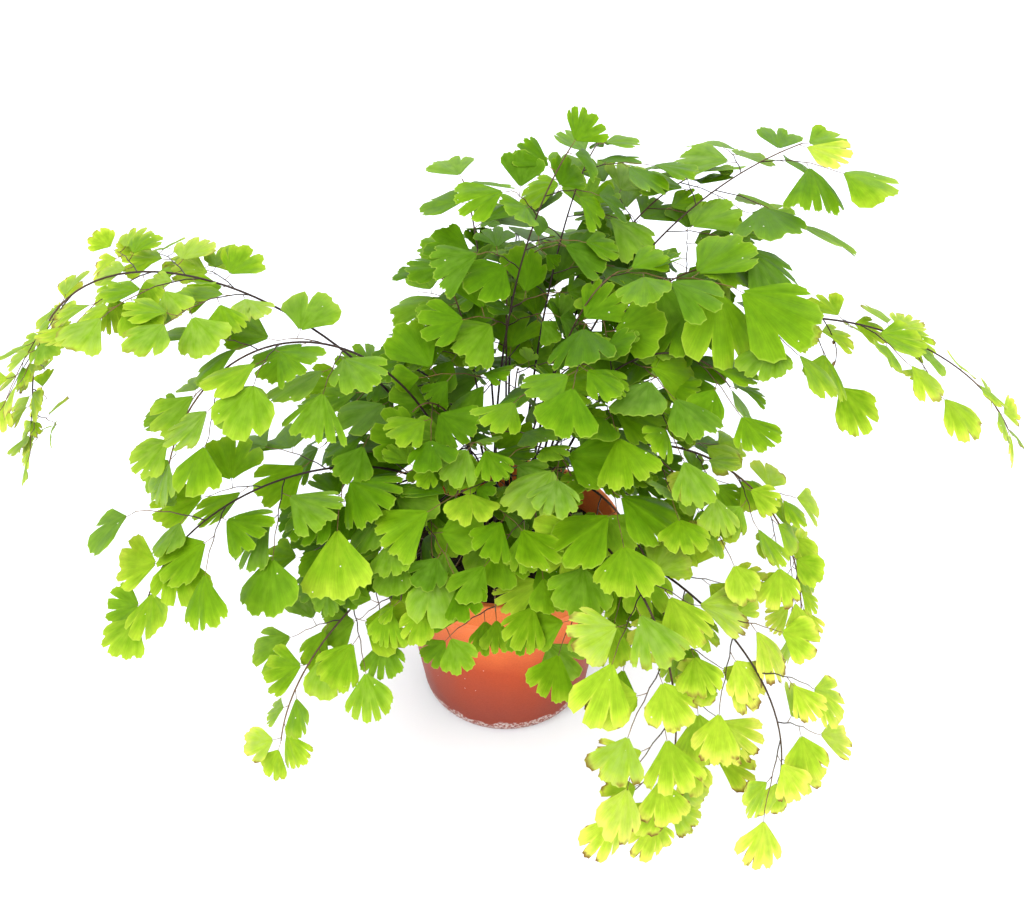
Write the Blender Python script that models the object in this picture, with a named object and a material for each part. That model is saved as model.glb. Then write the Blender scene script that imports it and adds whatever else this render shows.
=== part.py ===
"""Potted maidenhair fern: a terracotta-coloured pot, its soil, the rhizome and its fronds.

Metres, +Z up. The origin is the centre of the pot's underside, and the plant's front is -Y.
A frond is one grown piece: a wiry stalk whose side stalks and leaflets are extruded from its faces.
"""

import math
import random
from collections import namedtuple

import bmesh
import bpy
from mathutils import Matrix, Vector
from mathutils.bvhtree import BVHTree

# ---- Pot and soil (metres) ----
POT_HEIGHT = 0.095
RIM_RADIUS = 0.0525
BASE_RADIUS = 0.039
HEEL_RADIUS = 0.010
HEEL_STEPS = 5
POT_WALL = 0.0018
POT_FLOOR = 0.0025
COLLAR_HEIGHT = 0.017
COLLAR_STEP = 0.0009
LIP = 0.0008
POT_SIDES = 48
DRAIN_HOLES = 6
DRAIN_RADIUS = 0.0045
DRAIN_RING = 0.024
DRAIN_SIDES = 16
SOIL_TOP = 0.083
SOIL_DOME = 0.004
SOIL_SIDES = 36
GAP = 0.0004

# ---- Rhizome, stalk feet and rolled-up young fronds ----
RHIZOME_RADIUS = 0.019
RHIZOME_TOP = 0.092
RHIZOME_EDGE = 0.0885
RHIZOME_LUMP = 0.0012
RHIZOME_RINGS = (1.0, 0.75, 0.5, 0.25)
RHIZOME_FOOT = 0.9
FOOT_NEAR = 0.0065
FOOT_FAR = 0.0172
FULL_REACH = 0.14
FOOT_GAP = 0.0008
CROZIER_WIDTH = 0.0016
CROZIER_COIL = 0.0034
CROZIER_TURNS = 1.25
CROZIER_TIGHTEN = 0.55
CROZIER_THINNING = 0.7
CROZIER_POINTS = 16
Crozier = namedtuple("Crozier", "name azimuth foot height")
CROZIERS = (
    Crozier("crozier_back", 108, 0.0125, 0.022),
    Crozier("crozier_front", 281, 0.0130, 0.027),
    Crozier("crozier_right", 333, 0.0150, 0.018),
)

# ---- Fronds ----
# A stalk is one smooth arch in the upright plane of its azimuth (degrees, 0 is +X, 90 is +Y). It
# leaves the rhizome towards "lift", bends over at ("elbow", "crest") and ends at ("reach", "tip").
# "sway" turns its outer end sideways by some degrees, "spread" is the length of its lowest side
# stalks, "leaf" is its leaflets' length, and "bare" is the share of the stalk below the first of them.
Frond = namedtuple("Frond", "name azimuth sway reach tip lift elbow crest spread leaf bare")
FRONDS = (
    Frond("frond_long_left", 180, 0, 0.196, 0.142, 0.205, 0.180, 0.282, 0.046, 0.0140, 0.48),
    Frond("frond_second_left", 199, 4, 0.134, 0.160, 0.215, 0.110, 0.235, 0.028, 0.0190, 0.52),
    Frond("frond_low_left", 206, 4, 0.154, 0.122, 0.165, 0.130, 0.177, 0.026, 0.0210, 0.42),
    Frond("frond_hanging_left", 227, -1, 0.126, 0.060, 0.120, 0.112, 0.120, 0.010, 0.0170, 0.50),
    Frond("frond_top", 124, -78, 0.036, 0.256, 0.160, 0.012, 0.222, 0.032, 0.0190, 0.36),
    Frond("frond_top_left", 108, 0, 0.056, 0.234, 0.160, 0.032, 0.226, 0.012, 0.0230, 0.40),
    Frond("frond_top_right", 40, -6, 0.156, 0.238, 0.195, 0.096, 0.230, 0.048, 0.0260, 0.42),
    Frond("frond_upright_right", 58, 6, 0.092, 0.240, 0.170, 0.050, 0.235, 0.044, 0.022, 0.38),
    Frond("frond_far_right", 6, -4, 0.214, 0.142, 0.235, 0.174, 0.206, 0.016, 0.0180, 0.46),
    Frond("frond_right", 22, 0, 0.112, 0.196, 0.185, 0.080, 0.222, 0.040, 0.0220, 0.42),
    Frond("frond_low_right", -20, 0, 0.132, 0.078, 0.175, 0.120, 0.180, 0.022, 0.0145, 0.44),
    Frond("frond_hanging_right", -45, -1, 0.150, 0.060, 0.130, 0.146, 0.144, 0.026, 0.0180, 0.42),
    Frond("frond_hanging_front", -58, -3, 0.124, 0.038, 0.150, 0.148, 0.170, 0.022, 0.0190, 0.42),
    Frond("frond_front_right", -55, 6, 0.096, 0.100, 0.160, 0.080, 0.168, 0.030, 0.0190, 0.45),
    Frond("frond_right_inner", -7, 4, 0.090, 0.170, 0.180, 0.066, 0.205, 0.044, 0.022, 0.38),
    Frond("frond_low_right_inner", -32, 4, 0.084, 0.138, 0.160, 0.062, 0.175, 0.036, 0.0210, 0.45),
    Frond("frond_back", 86, 0, 0.100, 0.180, 0.190, 0.070, 0.230, 0.036, 0.0210, 0.45),
    Frond("frond_back_right", 65, 0, 0.138, 0.142, 0.190, 0.110, 0.215, 0.044, 0.020, 0.42),
    Frond("frond_back_left", 120, 0, 0.090, 0.110, 0.160, 0.070, 0.165, 0.042, 0.0200, 0.42),
    Frond("frond_left_back", 158, 4, 0.058, 0.158, 0.165, 0.042, 0.182, 0.034, 0.0200, 0.38),
    Frond("frond_left_inner", 192, -4, 0.074, 0.146, 0.160, 0.056, 0.172, 0.032, 0.0200, 0.38),
    Frond("frond_left_front", 216, 6, 0.090, 0.118, 0.150, 0.070, 0.160, 0.038, 0.018, 0.42),
    Frond("frond_front_left", 238, 4, 0.082, 0.118, 0.145, 0.064, 0.160, 0.034, 0.0180, 0.42),
    Frond("frond_front", -97, 4, 0.064, 0.104, 0.140, 0.060, 0.152, 0.030, 0.018, 0.42),
    Frond("frond_front_inner", -78, 0, 0.068, 0.128, 0.150, 0.050, 0.170, 0.036, 0.018, 0.42),
    Frond("frond_front_left_inner", -110, 0, 0.062, 0.134, 0.150, 0.046, 0.172, 0.036, 0.018, 0.42),
    Frond("frond_crown_back", 88, 0, 0.034, 0.206, 0.150, 0.020, 0.200, 0.040, 0.021, 0.38),
    Frond("frond_crown_left", 118, 0, 0.034, 0.204, 0.150, 0.022, 0.204, 0.020, 0.0200, 0.38),
    Frond("frond_crown_front", 262, 4, 0.044, 0.156, 0.140, 0.030, 0.165, 0.036, 0.018, 0.42),
    Frond("frond_crown_right", -28, 4, 0.062, 0.172, 0.150, 0.044, 0.185, 0.040, 0.021, 0.38),
    Frond("frond_centre", -50, 10, 0.040, 0.192, 0.150, 0.024, 0.190, 0.040, 0.021, 0.38),
    Frond("frond_centre_right", 12, 8, 0.048, 0.210, 0.155, 0.028, 0.205, 0.042, 0.022, 0.38),
    Frond("frond_top_right_inner", 50, -4, 0.132, 0.224, 0.190, 0.078, 0.226, 0.046, 0.0230, 0.42),
    Frond("frond_crown_front_left", 228, 6, 0.052, 0.150, 0.140, 0.036, 0.172, 0.036, 0.0190, 0.40),
    Frond("frond_crown_front_right", 304, 6, 0.048, 0.152, 0.140, 0.034, 0.172, 0.036, 0.0190, 0.40),
    Frond("frond_heart_left", 200, 6, 0.040, 0.166, 0.140, 0.026, 0.178, 0.034, 0.0190, 0.40),
    Frond("frond_heart_right", 340, 6, 0.034, 0.160, 0.140, 0.022, 0.170, 0.034, 0.0190, 0.40),
    Frond("frond_rim_left", 226, -4, 0.080, 0.106, 0.115, 0.060, 0.132, 0.028, 0.0180, 0.46),
    Frond("frond_heart_back", 95, 0, 0.020, 0.164, 0.138, 0.016, 0.172, 0.034, 0.0190, 0.42),
    Frond("frond_heart_front", 242, 0, 0.028, 0.148, 0.132, 0.020, 0.160, 0.032, 0.0190, 0.42),
    Frond("frond_rim_right", 291, 4, 0.084, 0.104, 0.115, 0.062, 0.136, 0.028, 0.0180, 0.46),
)
HANDLE = 0.08

# ---- Stalks ----
# PINNA_STEP and LEAF_STEP are half the distance between pairs, as shares of the leaflets' length.
# Above 1, TIP_CROWDING brings a main stalk's pairs closer together towards its tip.
STIPE_WIDTH = 0.0013
RACHIS_WIDTH = 0.0009
TWIG_WIDTH = 0.0007
ARCH_POINTS = 48
STIPE_RINGS = 5
PINNA_STEP = 0.53
TIP_CROWDING = 1.25
LEAF_STEP = 0.54
TWIG_POINTS = 6
TWIG_DROOP = 0.26
TWIG_END = 0.35
TWIG_TILT = 0.3
PINNA_ANGLE = math.radians(58)
LEAF_ANGLE = math.radians(55)
STAGGER = 0.4
STALK_TRIES = 31
STALK_TURN = 2
TWIG_TRIES = 9
TRIES_PER_LENGTH = 3
CROZIER_TURN = 12
CLEARANCE = 0.0007
LOWEST = 0.006

# ---- Leaflets ----
# A leaflet faces the mean of four directions with these weights, and some chance.
BLADE = 0.55
UPWARD = 0.85
OUTWARD = 0.30
FORWARD = 0.25
NOISE = 0.40
NOISE_PER_TRY = 0.07
SAG = 0.22
SWERVE = 0.2
LEAST_SLOPE = 0.3
LEAF_TRIES = 14
LEAF_STALK = 0.0035
LEAF_THICKNESS = 0.0006
LEAF_WIDTH = 1.12
SHOULDER = 0.68
TIP_SHRINK = 0.35
LENGTH_RANGE = (0.85, 1.12)
WIDTH_RANGE = (0.85, 1.15)
LESS_PER_TRY = 0.05
TWIG_END_LEAF = 1.05
FROND_END_LEAF = 0.8

UP = Vector((0, 0, 1))
FRONT = Vector((0, -1, 0))

Leaf = namedtuple("Leaf", "root axis normal length width")
Stem = namedtuple("Stem", "points lengths side width rings joints")
Bud = namedtuple("Bud", "anchor root tangent side blade")
Growth = namedtuple("Growth", "stem pairs end")
Section = namedtuple("Section", "centre across upward width thickness")


# ---- Materials and objects ----
def material(name, colour, roughness):
    """A Principled material with this base colour (linear RGB) and roughness."""
    made = bpy.data.materials.new(name)
    made.use_nodes = True
    shader = made.node_tree.nodes["Principled BSDF"]
    shader.inputs["Base Color"].default_value = (*colour, 1.0)
    shader.inputs["Roughness"].default_value = roughness
    shader.inputs["Metallic"].default_value = 0.0
    return made


def add_object(name, bm, finish, parent, smooth):
    """A named object under the parent, holding the finished mesh."""
    mesh = bpy.data.meshes.new(name)
    bm.to_mesh(mesh)
    bm.free()
    if smooth:
        mesh.shade_smooth()
        mesh.set_sharp_from_angle(angle=math.radians(35))
    mesh.materials.append(finish)
    made = bpy.data.objects.new(name, mesh)
    made.parent = parent
    bpy.context.scene.collection.objects.link(made)
    return made


def turned(profile, sides):
    """A closed mesh turned about Z from (radius, height) points, with a flat cap at each end."""
    bm = bmesh.new()
    rings = []
    for radius, height in profile:
        angles = [math.tau * i / sides for i in range(sides)]
        rings.append([bm.verts.new((radius * math.cos(a), radius * math.sin(a), height)) for a in angles])
    for first, second in zip(rings, rings[1:]):
        for i in range(sides):
            j = (i + 1) % sides
            bm.faces.new((first[i], first[j], second[j], second[i]))
    bm.faces.new(rings[0])
    bm.faces.new(rings[-1])
    bmesh.ops.recalc_face_normals(bm, faces=bm.faces[:])
    return bm


# ---- Pot, soil and rhizome ----
def wall_radius(height):
    """Outer radius of the pot's tapered wall at a height, below the collar."""
    return BASE_RADIUS + (RIM_RADIUS - COLLAR_STEP - BASE_RADIUS) * height / POT_HEIGHT


def heel(radius, inset, low):
    """Points of a rounded heel, from a flat floor at "low" up to the wall."""
    edge = wall_radius(low + radius) - inset - radius
    angles = [math.pi / 2 * i / HEEL_STEPS for i in range(HEEL_STEPS + 1)]
    return [(edge + radius * math.sin(a), low + radius - radius * math.cos(a)) for a in angles]


def make_pot(parent):
    """The pot: a tapered shell with a collar, and a ring of drain holes through its floor."""
    collar_low = POT_HEIGHT - COLLAR_HEIGHT
    inner_rim = RIM_RADIUS - COLLAR_STEP - POT_WALL
    profile = [
        *heel(HEEL_RADIUS, 0, 0),
        (wall_radius(collar_low), collar_low),
        (wall_radius(collar_low) + COLLAR_STEP, collar_low + COLLAR_STEP),
        (RIM_RADIUS, POT_HEIGHT - LIP),
        (RIM_RADIUS - LIP, POT_HEIGHT),
        (inner_rim + LIP, POT_HEIGHT),
        (inner_rim, POT_HEIGHT - LIP),
        *reversed(heel(HEEL_RADIUS - POT_WALL, POT_WALL, POT_FLOOR)),
    ]
    finish = material("pot_shell", (0.62, 0.17, 0.075), 0.5)
    pot = add_object("pot", turned(profile, POT_SIDES), finish, parent, True)
    cut = pot.modifiers.new("drain_holes", "BOOLEAN")
    cut.object = make_drain_cutter(finish, parent)
    return pot


def make_drain_cutter(finish, parent):
    """The upright pins that cut the drain holes, as one hidden object."""
    bm = bmesh.new()
    for i in range(DRAIN_HOLES):
        angle = math.tau * (i + 0.5) / DRAIN_HOLES
        place = Matrix.Rotation(angle, 4, "Z") @ Matrix.Translation((DRAIN_RING, 0, POT_FLOOR / 2))
        bmesh.ops.create_cone(
            bm,
            cap_ends=True,
            segments=DRAIN_SIDES,
            radius1=DRAIN_RADIUS,
            radius2=DRAIN_RADIUS,
            depth=3 * POT_FLOOR,
            matrix=place,
        )
    cutter = add_object("drain_cutter", bm, finish, parent, False)
    cutter.hide_render = True
    cutter.display_type = "WIRE"
    return cutter


def soil_mesh():
    """The soil: it fills the pot with a gap all round, and its domed top has a well for the rhizome."""
    well = RHIZOME_RADIUS + RHIZOME_LUMP + GAP
    shoulder = SOIL_TOP - SOIL_DOME
    edge = wall_radius(shoulder) - POT_WALL - GAP
    profile = [
        *heel(HEEL_RADIUS - POT_WALL - GAP, POT_WALL + GAP, POT_FLOOR + GAP),
        (edge, shoulder),
        (well + (edge - well) / 2, SOIL_TOP - SOIL_DOME / 4),
        (well, SOIL_TOP),
        (well, SOIL_TOP - 2 * SOIL_DOME),
    ]
    return turned(profile, SOIL_SIDES)


def rhizome_top(radius):
    """Height of the rhizome's domed top at a distance from its middle."""
    return RHIZOME_TOP - (RHIZOME_TOP - RHIZOME_EDGE) * (radius / RHIZOME_RADIUS) ** 2


def rhizome_mesh():
    """The rhizome: a low lumpy cake that sits in the soil's well."""
    low = SOIL_TOP - 2 * SOIL_DOME + GAP
    profile = [(RHIZOME_RADIUS * RHIZOME_FOOT, low), (RHIZOME_RADIUS, low + SOIL_DOME)]
    profile += [(RHIZOME_RADIUS * share, rhizome_top(RHIZOME_RADIUS * share)) for share in RHIZOME_RINGS]
    bm = turned(profile, SOIL_SIDES // 2)
    chance = random.Random("rhizome")
    for vert in bm.verts:
        if vert.co.z > low + GAP:
            outward = Vector((vert.co.x, vert.co.y, 0)).normalized()
            vert.co += outward * chance.uniform(-RHIZOME_LUMP, RHIZOME_LUMP)
    return bm


# ---- Where things are: no leaflet or stalk may run into another ----
class Space:
    """The solids placed so far, each with a ball round it that rules out most tests."""

    def __init__(self):
        self.taken = []

    def add(self, verts, faces, owner):
        """Add a solid that belongs to an owner, which may be anything that can be compared."""
        middle = sum(verts, Vector()) / len(verts)
        radius = max((v - middle).length for v in verts)
        self.taken.append((middle, radius, BVHTree.FromPolygons(verts, faces), owner))

    def is_free(self, verts, faces, owners):
        """True if this solid is above the ground and touches nothing but what the owners have placed."""
        if min(v.z for v in verts) < LOWEST:
            return False
        middle = sum(verts, Vector()) / len(verts)
        radius = max((v - middle).length for v in verts)
        tree = BVHTree.FromPolygons(verts, faces)
        for other_middle, other_radius, other, owner in self.taken:
            if owner in owners or (middle - other_middle).length > radius + other_radius:
                continue
            if tree.overlap(other):
                return False
        return True


def solid_of(bm):
    """The corners and faces of a mesh, as a Space takes them."""
    bm.verts.index_update()
    return [v.co.copy() for v in bm.verts], [[v.index for v in f.verts] for f in bm.faces]


def corners(section):
    """The four corners of a cross-section, in order round it."""
    across = section.across * section.width / 2
    upward = section.upward * section.thickness / 2
    steps = (across + upward, upward - across, -across - upward, across - upward)
    return [section.centre + step for step in steps]


def loft(sections):
    """The corners and faces of a closed solid through four-cornered sections."""
    verts = [corner for section in sections for corner in corners(section)]
    faces = [(0, 1, 2, 3), tuple(len(verts) - k for k in (1, 2, 3, 4))]
    for first in range(0, len(verts) - 4, 4):
        for k in range(4):
            n = (k + 1) % 4
            faces.append((first + k, first + n, first + 4 + n, first + 4 + k))
    return verts, faces


def stem_solid(stem, extra, anchor=None):
    """A stalk as a solid, thicker by "extra" on each side. A side stalk starts at its anchor."""
    size = stem.width + 2 * extra
    sections = []
    for distance in (*stem.rings, *stem.joints, stem.lengths[-1]):
        centre, tangent, side = at(stem, distance)
        sections.append(Section(centre, side, tangent.cross(side), size, size))
    if anchor:
        sections.insert(0, sections[0]._replace(centre=anchor))
    return loft(sections)


def leaf_solid(leaf, extra, anchor):
    """A leaflet as a solid from its anchor on, thicker by "extra" on each face and at its edges."""
    across = leaf.normal.cross(leaf.axis)
    widest = leaf.root + leaf.axis * (LEAF_STALK + leaf.length * SHOULDER)
    tip = leaf.root + leaf.axis * (LEAF_STALK + leaf.length)
    sections = []
    for centre, width in ((anchor, TWIG_WIDTH), (widest, leaf.width), (tip, leaf.width / 4)):
        width += 2 * extra
        sections.append(Section(centre, across, leaf.normal, width, LEAF_THICKNESS + 2 * extra))
    return loft(sections)


# ---- Stalks ----
def make_stem(points, side, width):
    """A stalk along points, with the distance of each from the first."""
    lengths = [0.0]
    for first, second in zip(points, points[1:]):
        lengths.append(lengths[-1] + (second - first).length)
    return Stem(points, lengths, side, width, (), ())


def paced(first, step, last):
    """Distances from the first to before the last, a step apart."""
    return tuple(first + step * i for i in range(math.ceil((last - first) / step)))


def at(stem, distance):
    """The point, tangent and sideways direction at a distance along a stalk."""
    last = len(stem.points) - 2
    i = max(k for k in range(last + 1) if stem.lengths[k] <= distance or k == 0)
    run = stem.lengths[i + 1] - stem.lengths[i]
    share = (distance - stem.lengths[i]) / run
    point = stem.points[i].lerp(stem.points[i + 1], share)
    before = stem.points[i] - stem.points[max(i - 1, 0)]
    here = stem.points[i + 1] - stem.points[i]
    tangent = (here.normalized() + before.normalized()).normalized()
    side = (stem.side - tangent * stem.side.dot(tangent)).normalized()
    return point, tangent, side


def polar(azimuth, radius, height):
    """A point at an azimuth in degrees, a distance from the Z axis and a height."""
    angle = math.radians(azimuth)
    return Vector((radius * math.cos(angle), radius * math.sin(angle), height))


def foot_radius(reach):
    """How far out a stalk stands on the rhizome: far-reaching fronds stand near its rim."""
    return FOOT_NEAR + (FOOT_FAR - FOOT_NEAR) * min(reach / FULL_REACH, 1)


def arch(frond):
    """The main stalk of a frond."""
    foot = foot_radius(frond.reach)
    low = rhizome_top(foot) + FOOT_GAP
    far = frond.azimuth + frond.sway
    handles = (
        polar(frond.azimuth, foot, low),
        polar(frond.azimuth, foot + (frond.elbow - foot) * HANDLE, frond.lift),
        polar((frond.azimuth + far) / 2, frond.elbow, frond.crest),
        polar(far, frond.reach, frond.tip),
    )
    points = []
    for i in range(ARCH_POINTS + 1):
        t = i / ARCH_POINTS
        weights = ((1 - t) ** 3, 3 * t * (1 - t) ** 2, 3 * t * t * (1 - t), t**3)
        points.append(sum((h * w for h, w in zip(handles, weights)), Vector()))
    stem = make_stem(points, polar(frond.azimuth + 90, 1, 0), STIPE_WIDTH)
    start = stem.lengths[-1] * frond.bare
    leafy = stem.lengths[-1] - start
    count = round(leafy / (2 * PINNA_STEP * frond.leaf))
    remaining = [(1 - (i + 0.5) / count) ** TIP_CROWDING for i in range(count)]
    joints = tuple(start + leafy * (1 - share) for share in remaining)
    return stem._replace(rings=paced(0, start / STIPE_RINGS, start), joints=joints)


def turn_towards(tangent, side, hand, angle, tilt):
    """The direction that leaves a stalk at an angle to one hand (1 left, -1 right), tilted up."""
    out = side * (hand * math.cos(tilt)) + tangent.cross(side) * math.sin(tilt)
    return (tangent * math.cos(angle) + out * math.sin(angle)).normalized()


def facing(blade, place, chance, strength):
    """The way a leaflet faces: with its frond's blade, up to the light, and outwards."""
    outward = Vector((place.x, place.y, 0)).normalized()
    noise = Vector([chance.uniform(-1, 1) for _ in range(3)])
    wanted = blade * BLADE + UP * UPWARD + outward * OUTWARD + FRONT * FORWARD
    return (wanted + noise * strength).normalized()


def bud(stem, middle, hand, step, width):
    """Where something grows from a stalk's joint to one hand: the two hands of a pair are staggered."""
    root, tangent, side = at(stem, middle - hand * STAGGER * step)
    anchor = at(stem, middle)[0] + side * (hand * width)
    return Bud(anchor, root, tangent, side, tangent.cross(side))


def end_bud(stem):
    """Where something grows from a stalk's end."""
    root, tangent, side = at(stem, stem.lengths[-1])
    return Bud(root, root, tangent, side, tangent.cross(side))


def grow_leaf(space, start, heading, size, owners, chance):
    """A leaflet at a bud, or None where no turn of it finds room."""
    for attempt in range(LEAF_TRIES):
        normal = facing(start.blade, start.root, chance, NOISE + NOISE_PER_TRY * attempt)
        sagging = (heading - UP * SAG + FRONT * chance.uniform(-SWERVE, SWERVE)).normalized()
        axis = sagging - normal * sagging.dot(normal)
        length = size * chance.uniform(*LENGTH_RANGE) * (1 - LESS_PER_TRY * attempt)
        width = length * LEAF_WIDTH * chance.uniform(*WIDTH_RANGE)
        if axis.length < LEAST_SLOPE:
            continue
        leaf = Leaf(start.root, axis.normalized(), normal, length, width)
        if space.is_free(*leaf_solid(leaf, CLEARANCE, start.anchor), owners):
            space.add(*leaf_solid(leaf, 0, start.anchor), "leaflet")
            return leaf
    return None


def twig_stem(frond, root, heading, blade, pairs):
    """A side stalk long enough for some pairs of leaflets, bending down under their weight."""
    step = LEAF_STEP * frond.leaf
    length = step * (2 * pairs + TWIG_END)
    points = []
    for i in range(TWIG_POINTS + 1):
        share = i / TWIG_POINTS
        points.append(root + heading * (length * share) - UP * (TWIG_DROOP * length * share**2))
    stem = make_stem(points, blade.cross(heading).normalized(), TWIG_WIDTH)
    return stem._replace(joints=paced(step, 2 * step, stem.lengths[-1]))


def grow_twig(space, start, frond, heading, pairs, size, chance):
    """A side stalk with alternate leaflets and one at its end, or None where it finds no room."""
    stem = twig_stem(frond, start.root, heading, start.blade, pairs)
    stalk = frond.name + "_stalk"
    if not space.is_free(*stem_solid(stem, CLEARANCE, start.anchor), (stalk,)):
        return None
    name = f"{stalk}_{chance.random()}"
    space.add(*stem_solid(stem, 0, start.anchor), name)
    owners = (name, stalk)
    grown_pairs = []
    for middle in stem.joints:
        grown = []
        for hand in (1, -1):
            place = bud(stem, middle, hand, LEAF_STEP * frond.leaf, TWIG_WIDTH)._replace(blade=start.blade)
            turned_out = turn_towards(place.tangent, place.side, hand, LEAF_ANGLE, 0)
            grown.append(grow_leaf(space, place, turned_out, size, owners, chance))
        grown_pairs.append(grown)
    tip = end_bud(stem)._replace(blade=start.blade)
    end = grow_leaf(space, tip, tip.tangent, size * TWIG_END_LEAF, owners, chance)
    return Growth(stem, grown_pairs, end)


def grow_side(space, frond, start, hand, pairs, size, chance):
    """What a main stalk carries at one bud: a side stalk, or a single leaflet where it would be short."""
    for attempt in range(TWIG_TRIES):
        tilt = chance.uniform(-TWIG_TILT, TWIG_TILT) * (1 + attempt / 2)
        heading = turn_towards(start.tangent, start.side, hand, PINNA_ANGLE, tilt)
        fewer = max(pairs - attempt // TRIES_PER_LENGTH, 1)
        if pairs < 1:
            grown = grow_leaf(space, start, heading, size, (frond.name + "_stalk",), chance)
        else:
            grown = grow_twig(space, start, frond, heading, fewer, size, chance)
        if grown:
            return grown
    return None


def grow_frond(space, frond, stem):
    """A whole frond on its main stalk: longer side stalks low down, single leaflets near the tip."""
    chance = random.Random(frond.name)
    grown_pairs = []
    for k, middle in enumerate(stem.joints):
        share = k / len(stem.joints)
        size = frond.leaf * (1 - TIP_SHRINK * share)
        pairs = round(frond.spread * (1 - share) / (2 * LEAF_STEP * frond.leaf))
        grown = []
        for hand in (1, -1):
            start = bud(stem, middle, hand, PINNA_STEP * frond.leaf, STIPE_WIDTH)
            grown.append(grow_side(space, frond, start, hand, pairs, size, chance))
        grown_pairs.append(grown)
    tip = end_bud(stem)
    stalk = frond.name + "_stalk"
    end = grow_leaf(space, tip, tip.tangent, frond.leaf * FROND_END_LEAF, (stalk,), chance)
    return Growth(stem, grown_pairs, end)


def settled_arch(space, frond):
    """The frond's main stalk, turned a little where it would touch one that already stands."""
    for step in range(STALK_TRIES):
        turn = STALK_TURN * ((step + 1) // 2) * (-1) ** step
        stem = arch(frond._replace(azimuth=frond.azimuth + turn))
        if space.is_free(*stem_solid(stem, CLEARANCE), ()):
            break
    space.add(*stem_solid(stem, 0), frond.name + "_stalk")
    return stem


# ---- Frond meshes ----
def extend(bm, face, old, new):
    """Extrude a stalk's end face, at the old cross-section, to the new one. Returns the new end face."""
    end = bmesh.ops.extrude_discrete_faces(bm, faces=[face])["faces"][0]
    for vert in end.verts:
        step = vert.co - old.centre
        hand = math.copysign(new.width / 2, step.dot(old.across))
        level = math.copysign(new.thickness / 2, step.dot(old.upward))
        vert.co = new.centre + new.across * hand + new.upward * level
    return end


def side_section(end, middle, side, tangent, hand):
    """The face of a stalk's last stretch on one hand, and its cross-section."""
    sides = {f for edge in end.edges for f in edge.link_faces if f != end}
    face = max(sides, key=lambda f: (f.calc_center_median() - middle).dot(side * hand))
    return face, Section(face.calc_center_median(), tangent, tangent.cross(side), 0, 0)


def add_leaf(bm, face, base, leaf, hand):
    """Grow a fan-shaped leaflet from a face: out to its widest place, and on to its tip."""
    normal = leaf.normal if leaf.normal.dot(base.upward) > 0 else -leaf.normal
    across = normal.cross(leaf.axis) * -hand
    widest = leaf.root + leaf.axis * (LEAF_STALK + leaf.length * SHOULDER)
    end = extend(bm, face, base, Section(widest, across, normal, leaf.width, LEAF_THICKNESS))
    tip = bmesh.ops.poke(bm, faces=[end])["verts"][0]
    tip.co = leaf.root + leaf.axis * (LEAF_STALK + leaf.length)


def stem_section(stem, distance, widths):
    """The square cross-section of a tapering stalk at a distance along it."""
    centre, tangent, side = at(stem, distance)
    size = widths[0] + (widths[1] - widths[0]) * distance / stem.lengths[-1]
    return Section(centre, side, tangent.cross(side), size, size)


def add_growth(bm, face, base, growth, hand, widths):
    """Grow a stalk from a face, with everything that it carries."""
    stem = growth.stem
    for distance, (left, right) in zip(stem.joints, growth.pairs):
        before = stem_section(stem, distance - TWIG_WIDTH / 2, widths)
        after = stem_section(stem, distance + TWIG_WIDTH / 2, widths)
        face = extend(bm, face, base, before._replace(across=before.across * -hand))
        face = extend(bm, face, before, after)
        base, hand = after, -1
        middle, tangent, side = at(stem, distance)
        for which, carried in ((1, left), (-1, right)):
            if not carried:
                continue
            root, section = side_section(face, middle, side, tangent, which)
            if isinstance(carried, Leaf):
                add_leaf(bm, root, section, carried, which)
            else:
                add_growth(bm, root, section, carried, which, (TWIG_WIDTH, TWIG_WIDTH))
    tip = stem_section(stem, stem.lengths[-1], widths)
    face = extend(bm, face, base, tip)
    if growth.end:
        add_leaf(bm, face, tip, growth.end, -1)


def frond_mesh(growth):
    """A whole frond as one closed solid, grown from the foot of its stalk."""
    bm = bmesh.new()
    widths = (STIPE_WIDTH, RACHIS_WIDTH)
    base = stem_section(growth.stem, 0, widths)
    foot = [bm.verts.new(corner) for corner in corners(base)]
    face = bm.faces.new(foot)
    for distance in growth.stem.rings[1:]:
        section = stem_section(growth.stem, distance, widths)
        face = extend(bm, face, base, section)
        base = section
    add_growth(bm, face, base, growth, -1, widths)
    bm.faces.new(foot)
    bmesh.ops.recalc_face_normals(bm, faces=bm.faces[:])
    return bm


def crozier_path(crozier, azimuth):
    """The middle line of a rolled-up young frond: straight up, then round in a tightening coil."""
    foot = polar(azimuth, crozier.foot, rhizome_top(crozier.foot) + FOOT_GAP)
    outward = polar(azimuth, 1, 0)
    top = foot + UP * crozier.height
    points = [foot, foot + UP * (crozier.height / 2)]
    for i in range(CROZIER_POINTS + 1):
        share = i / CROZIER_POINTS
        angle = math.pi - math.tau * CROZIER_TURNS * share
        radius = CROZIER_COIL * (1 - CROZIER_TIGHTEN * share)
        middle = top + outward * CROZIER_COIL
        points.append(middle + outward * (radius * math.cos(angle)) + UP * (radius * math.sin(angle)))
    return make_stem(points, polar(azimuth + 90, 1, 0), CROZIER_WIDTH)


def crozier_solid(stem, extra):
    """A rolled-up young frond as a solid, thicker by "extra" on each side."""
    widths = (CROZIER_WIDTH + 2 * extra, CROZIER_WIDTH * CROZIER_THINNING + 2 * extra)
    return loft([stem_section(stem, distance, widths) for distance in stem.lengths])


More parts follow.
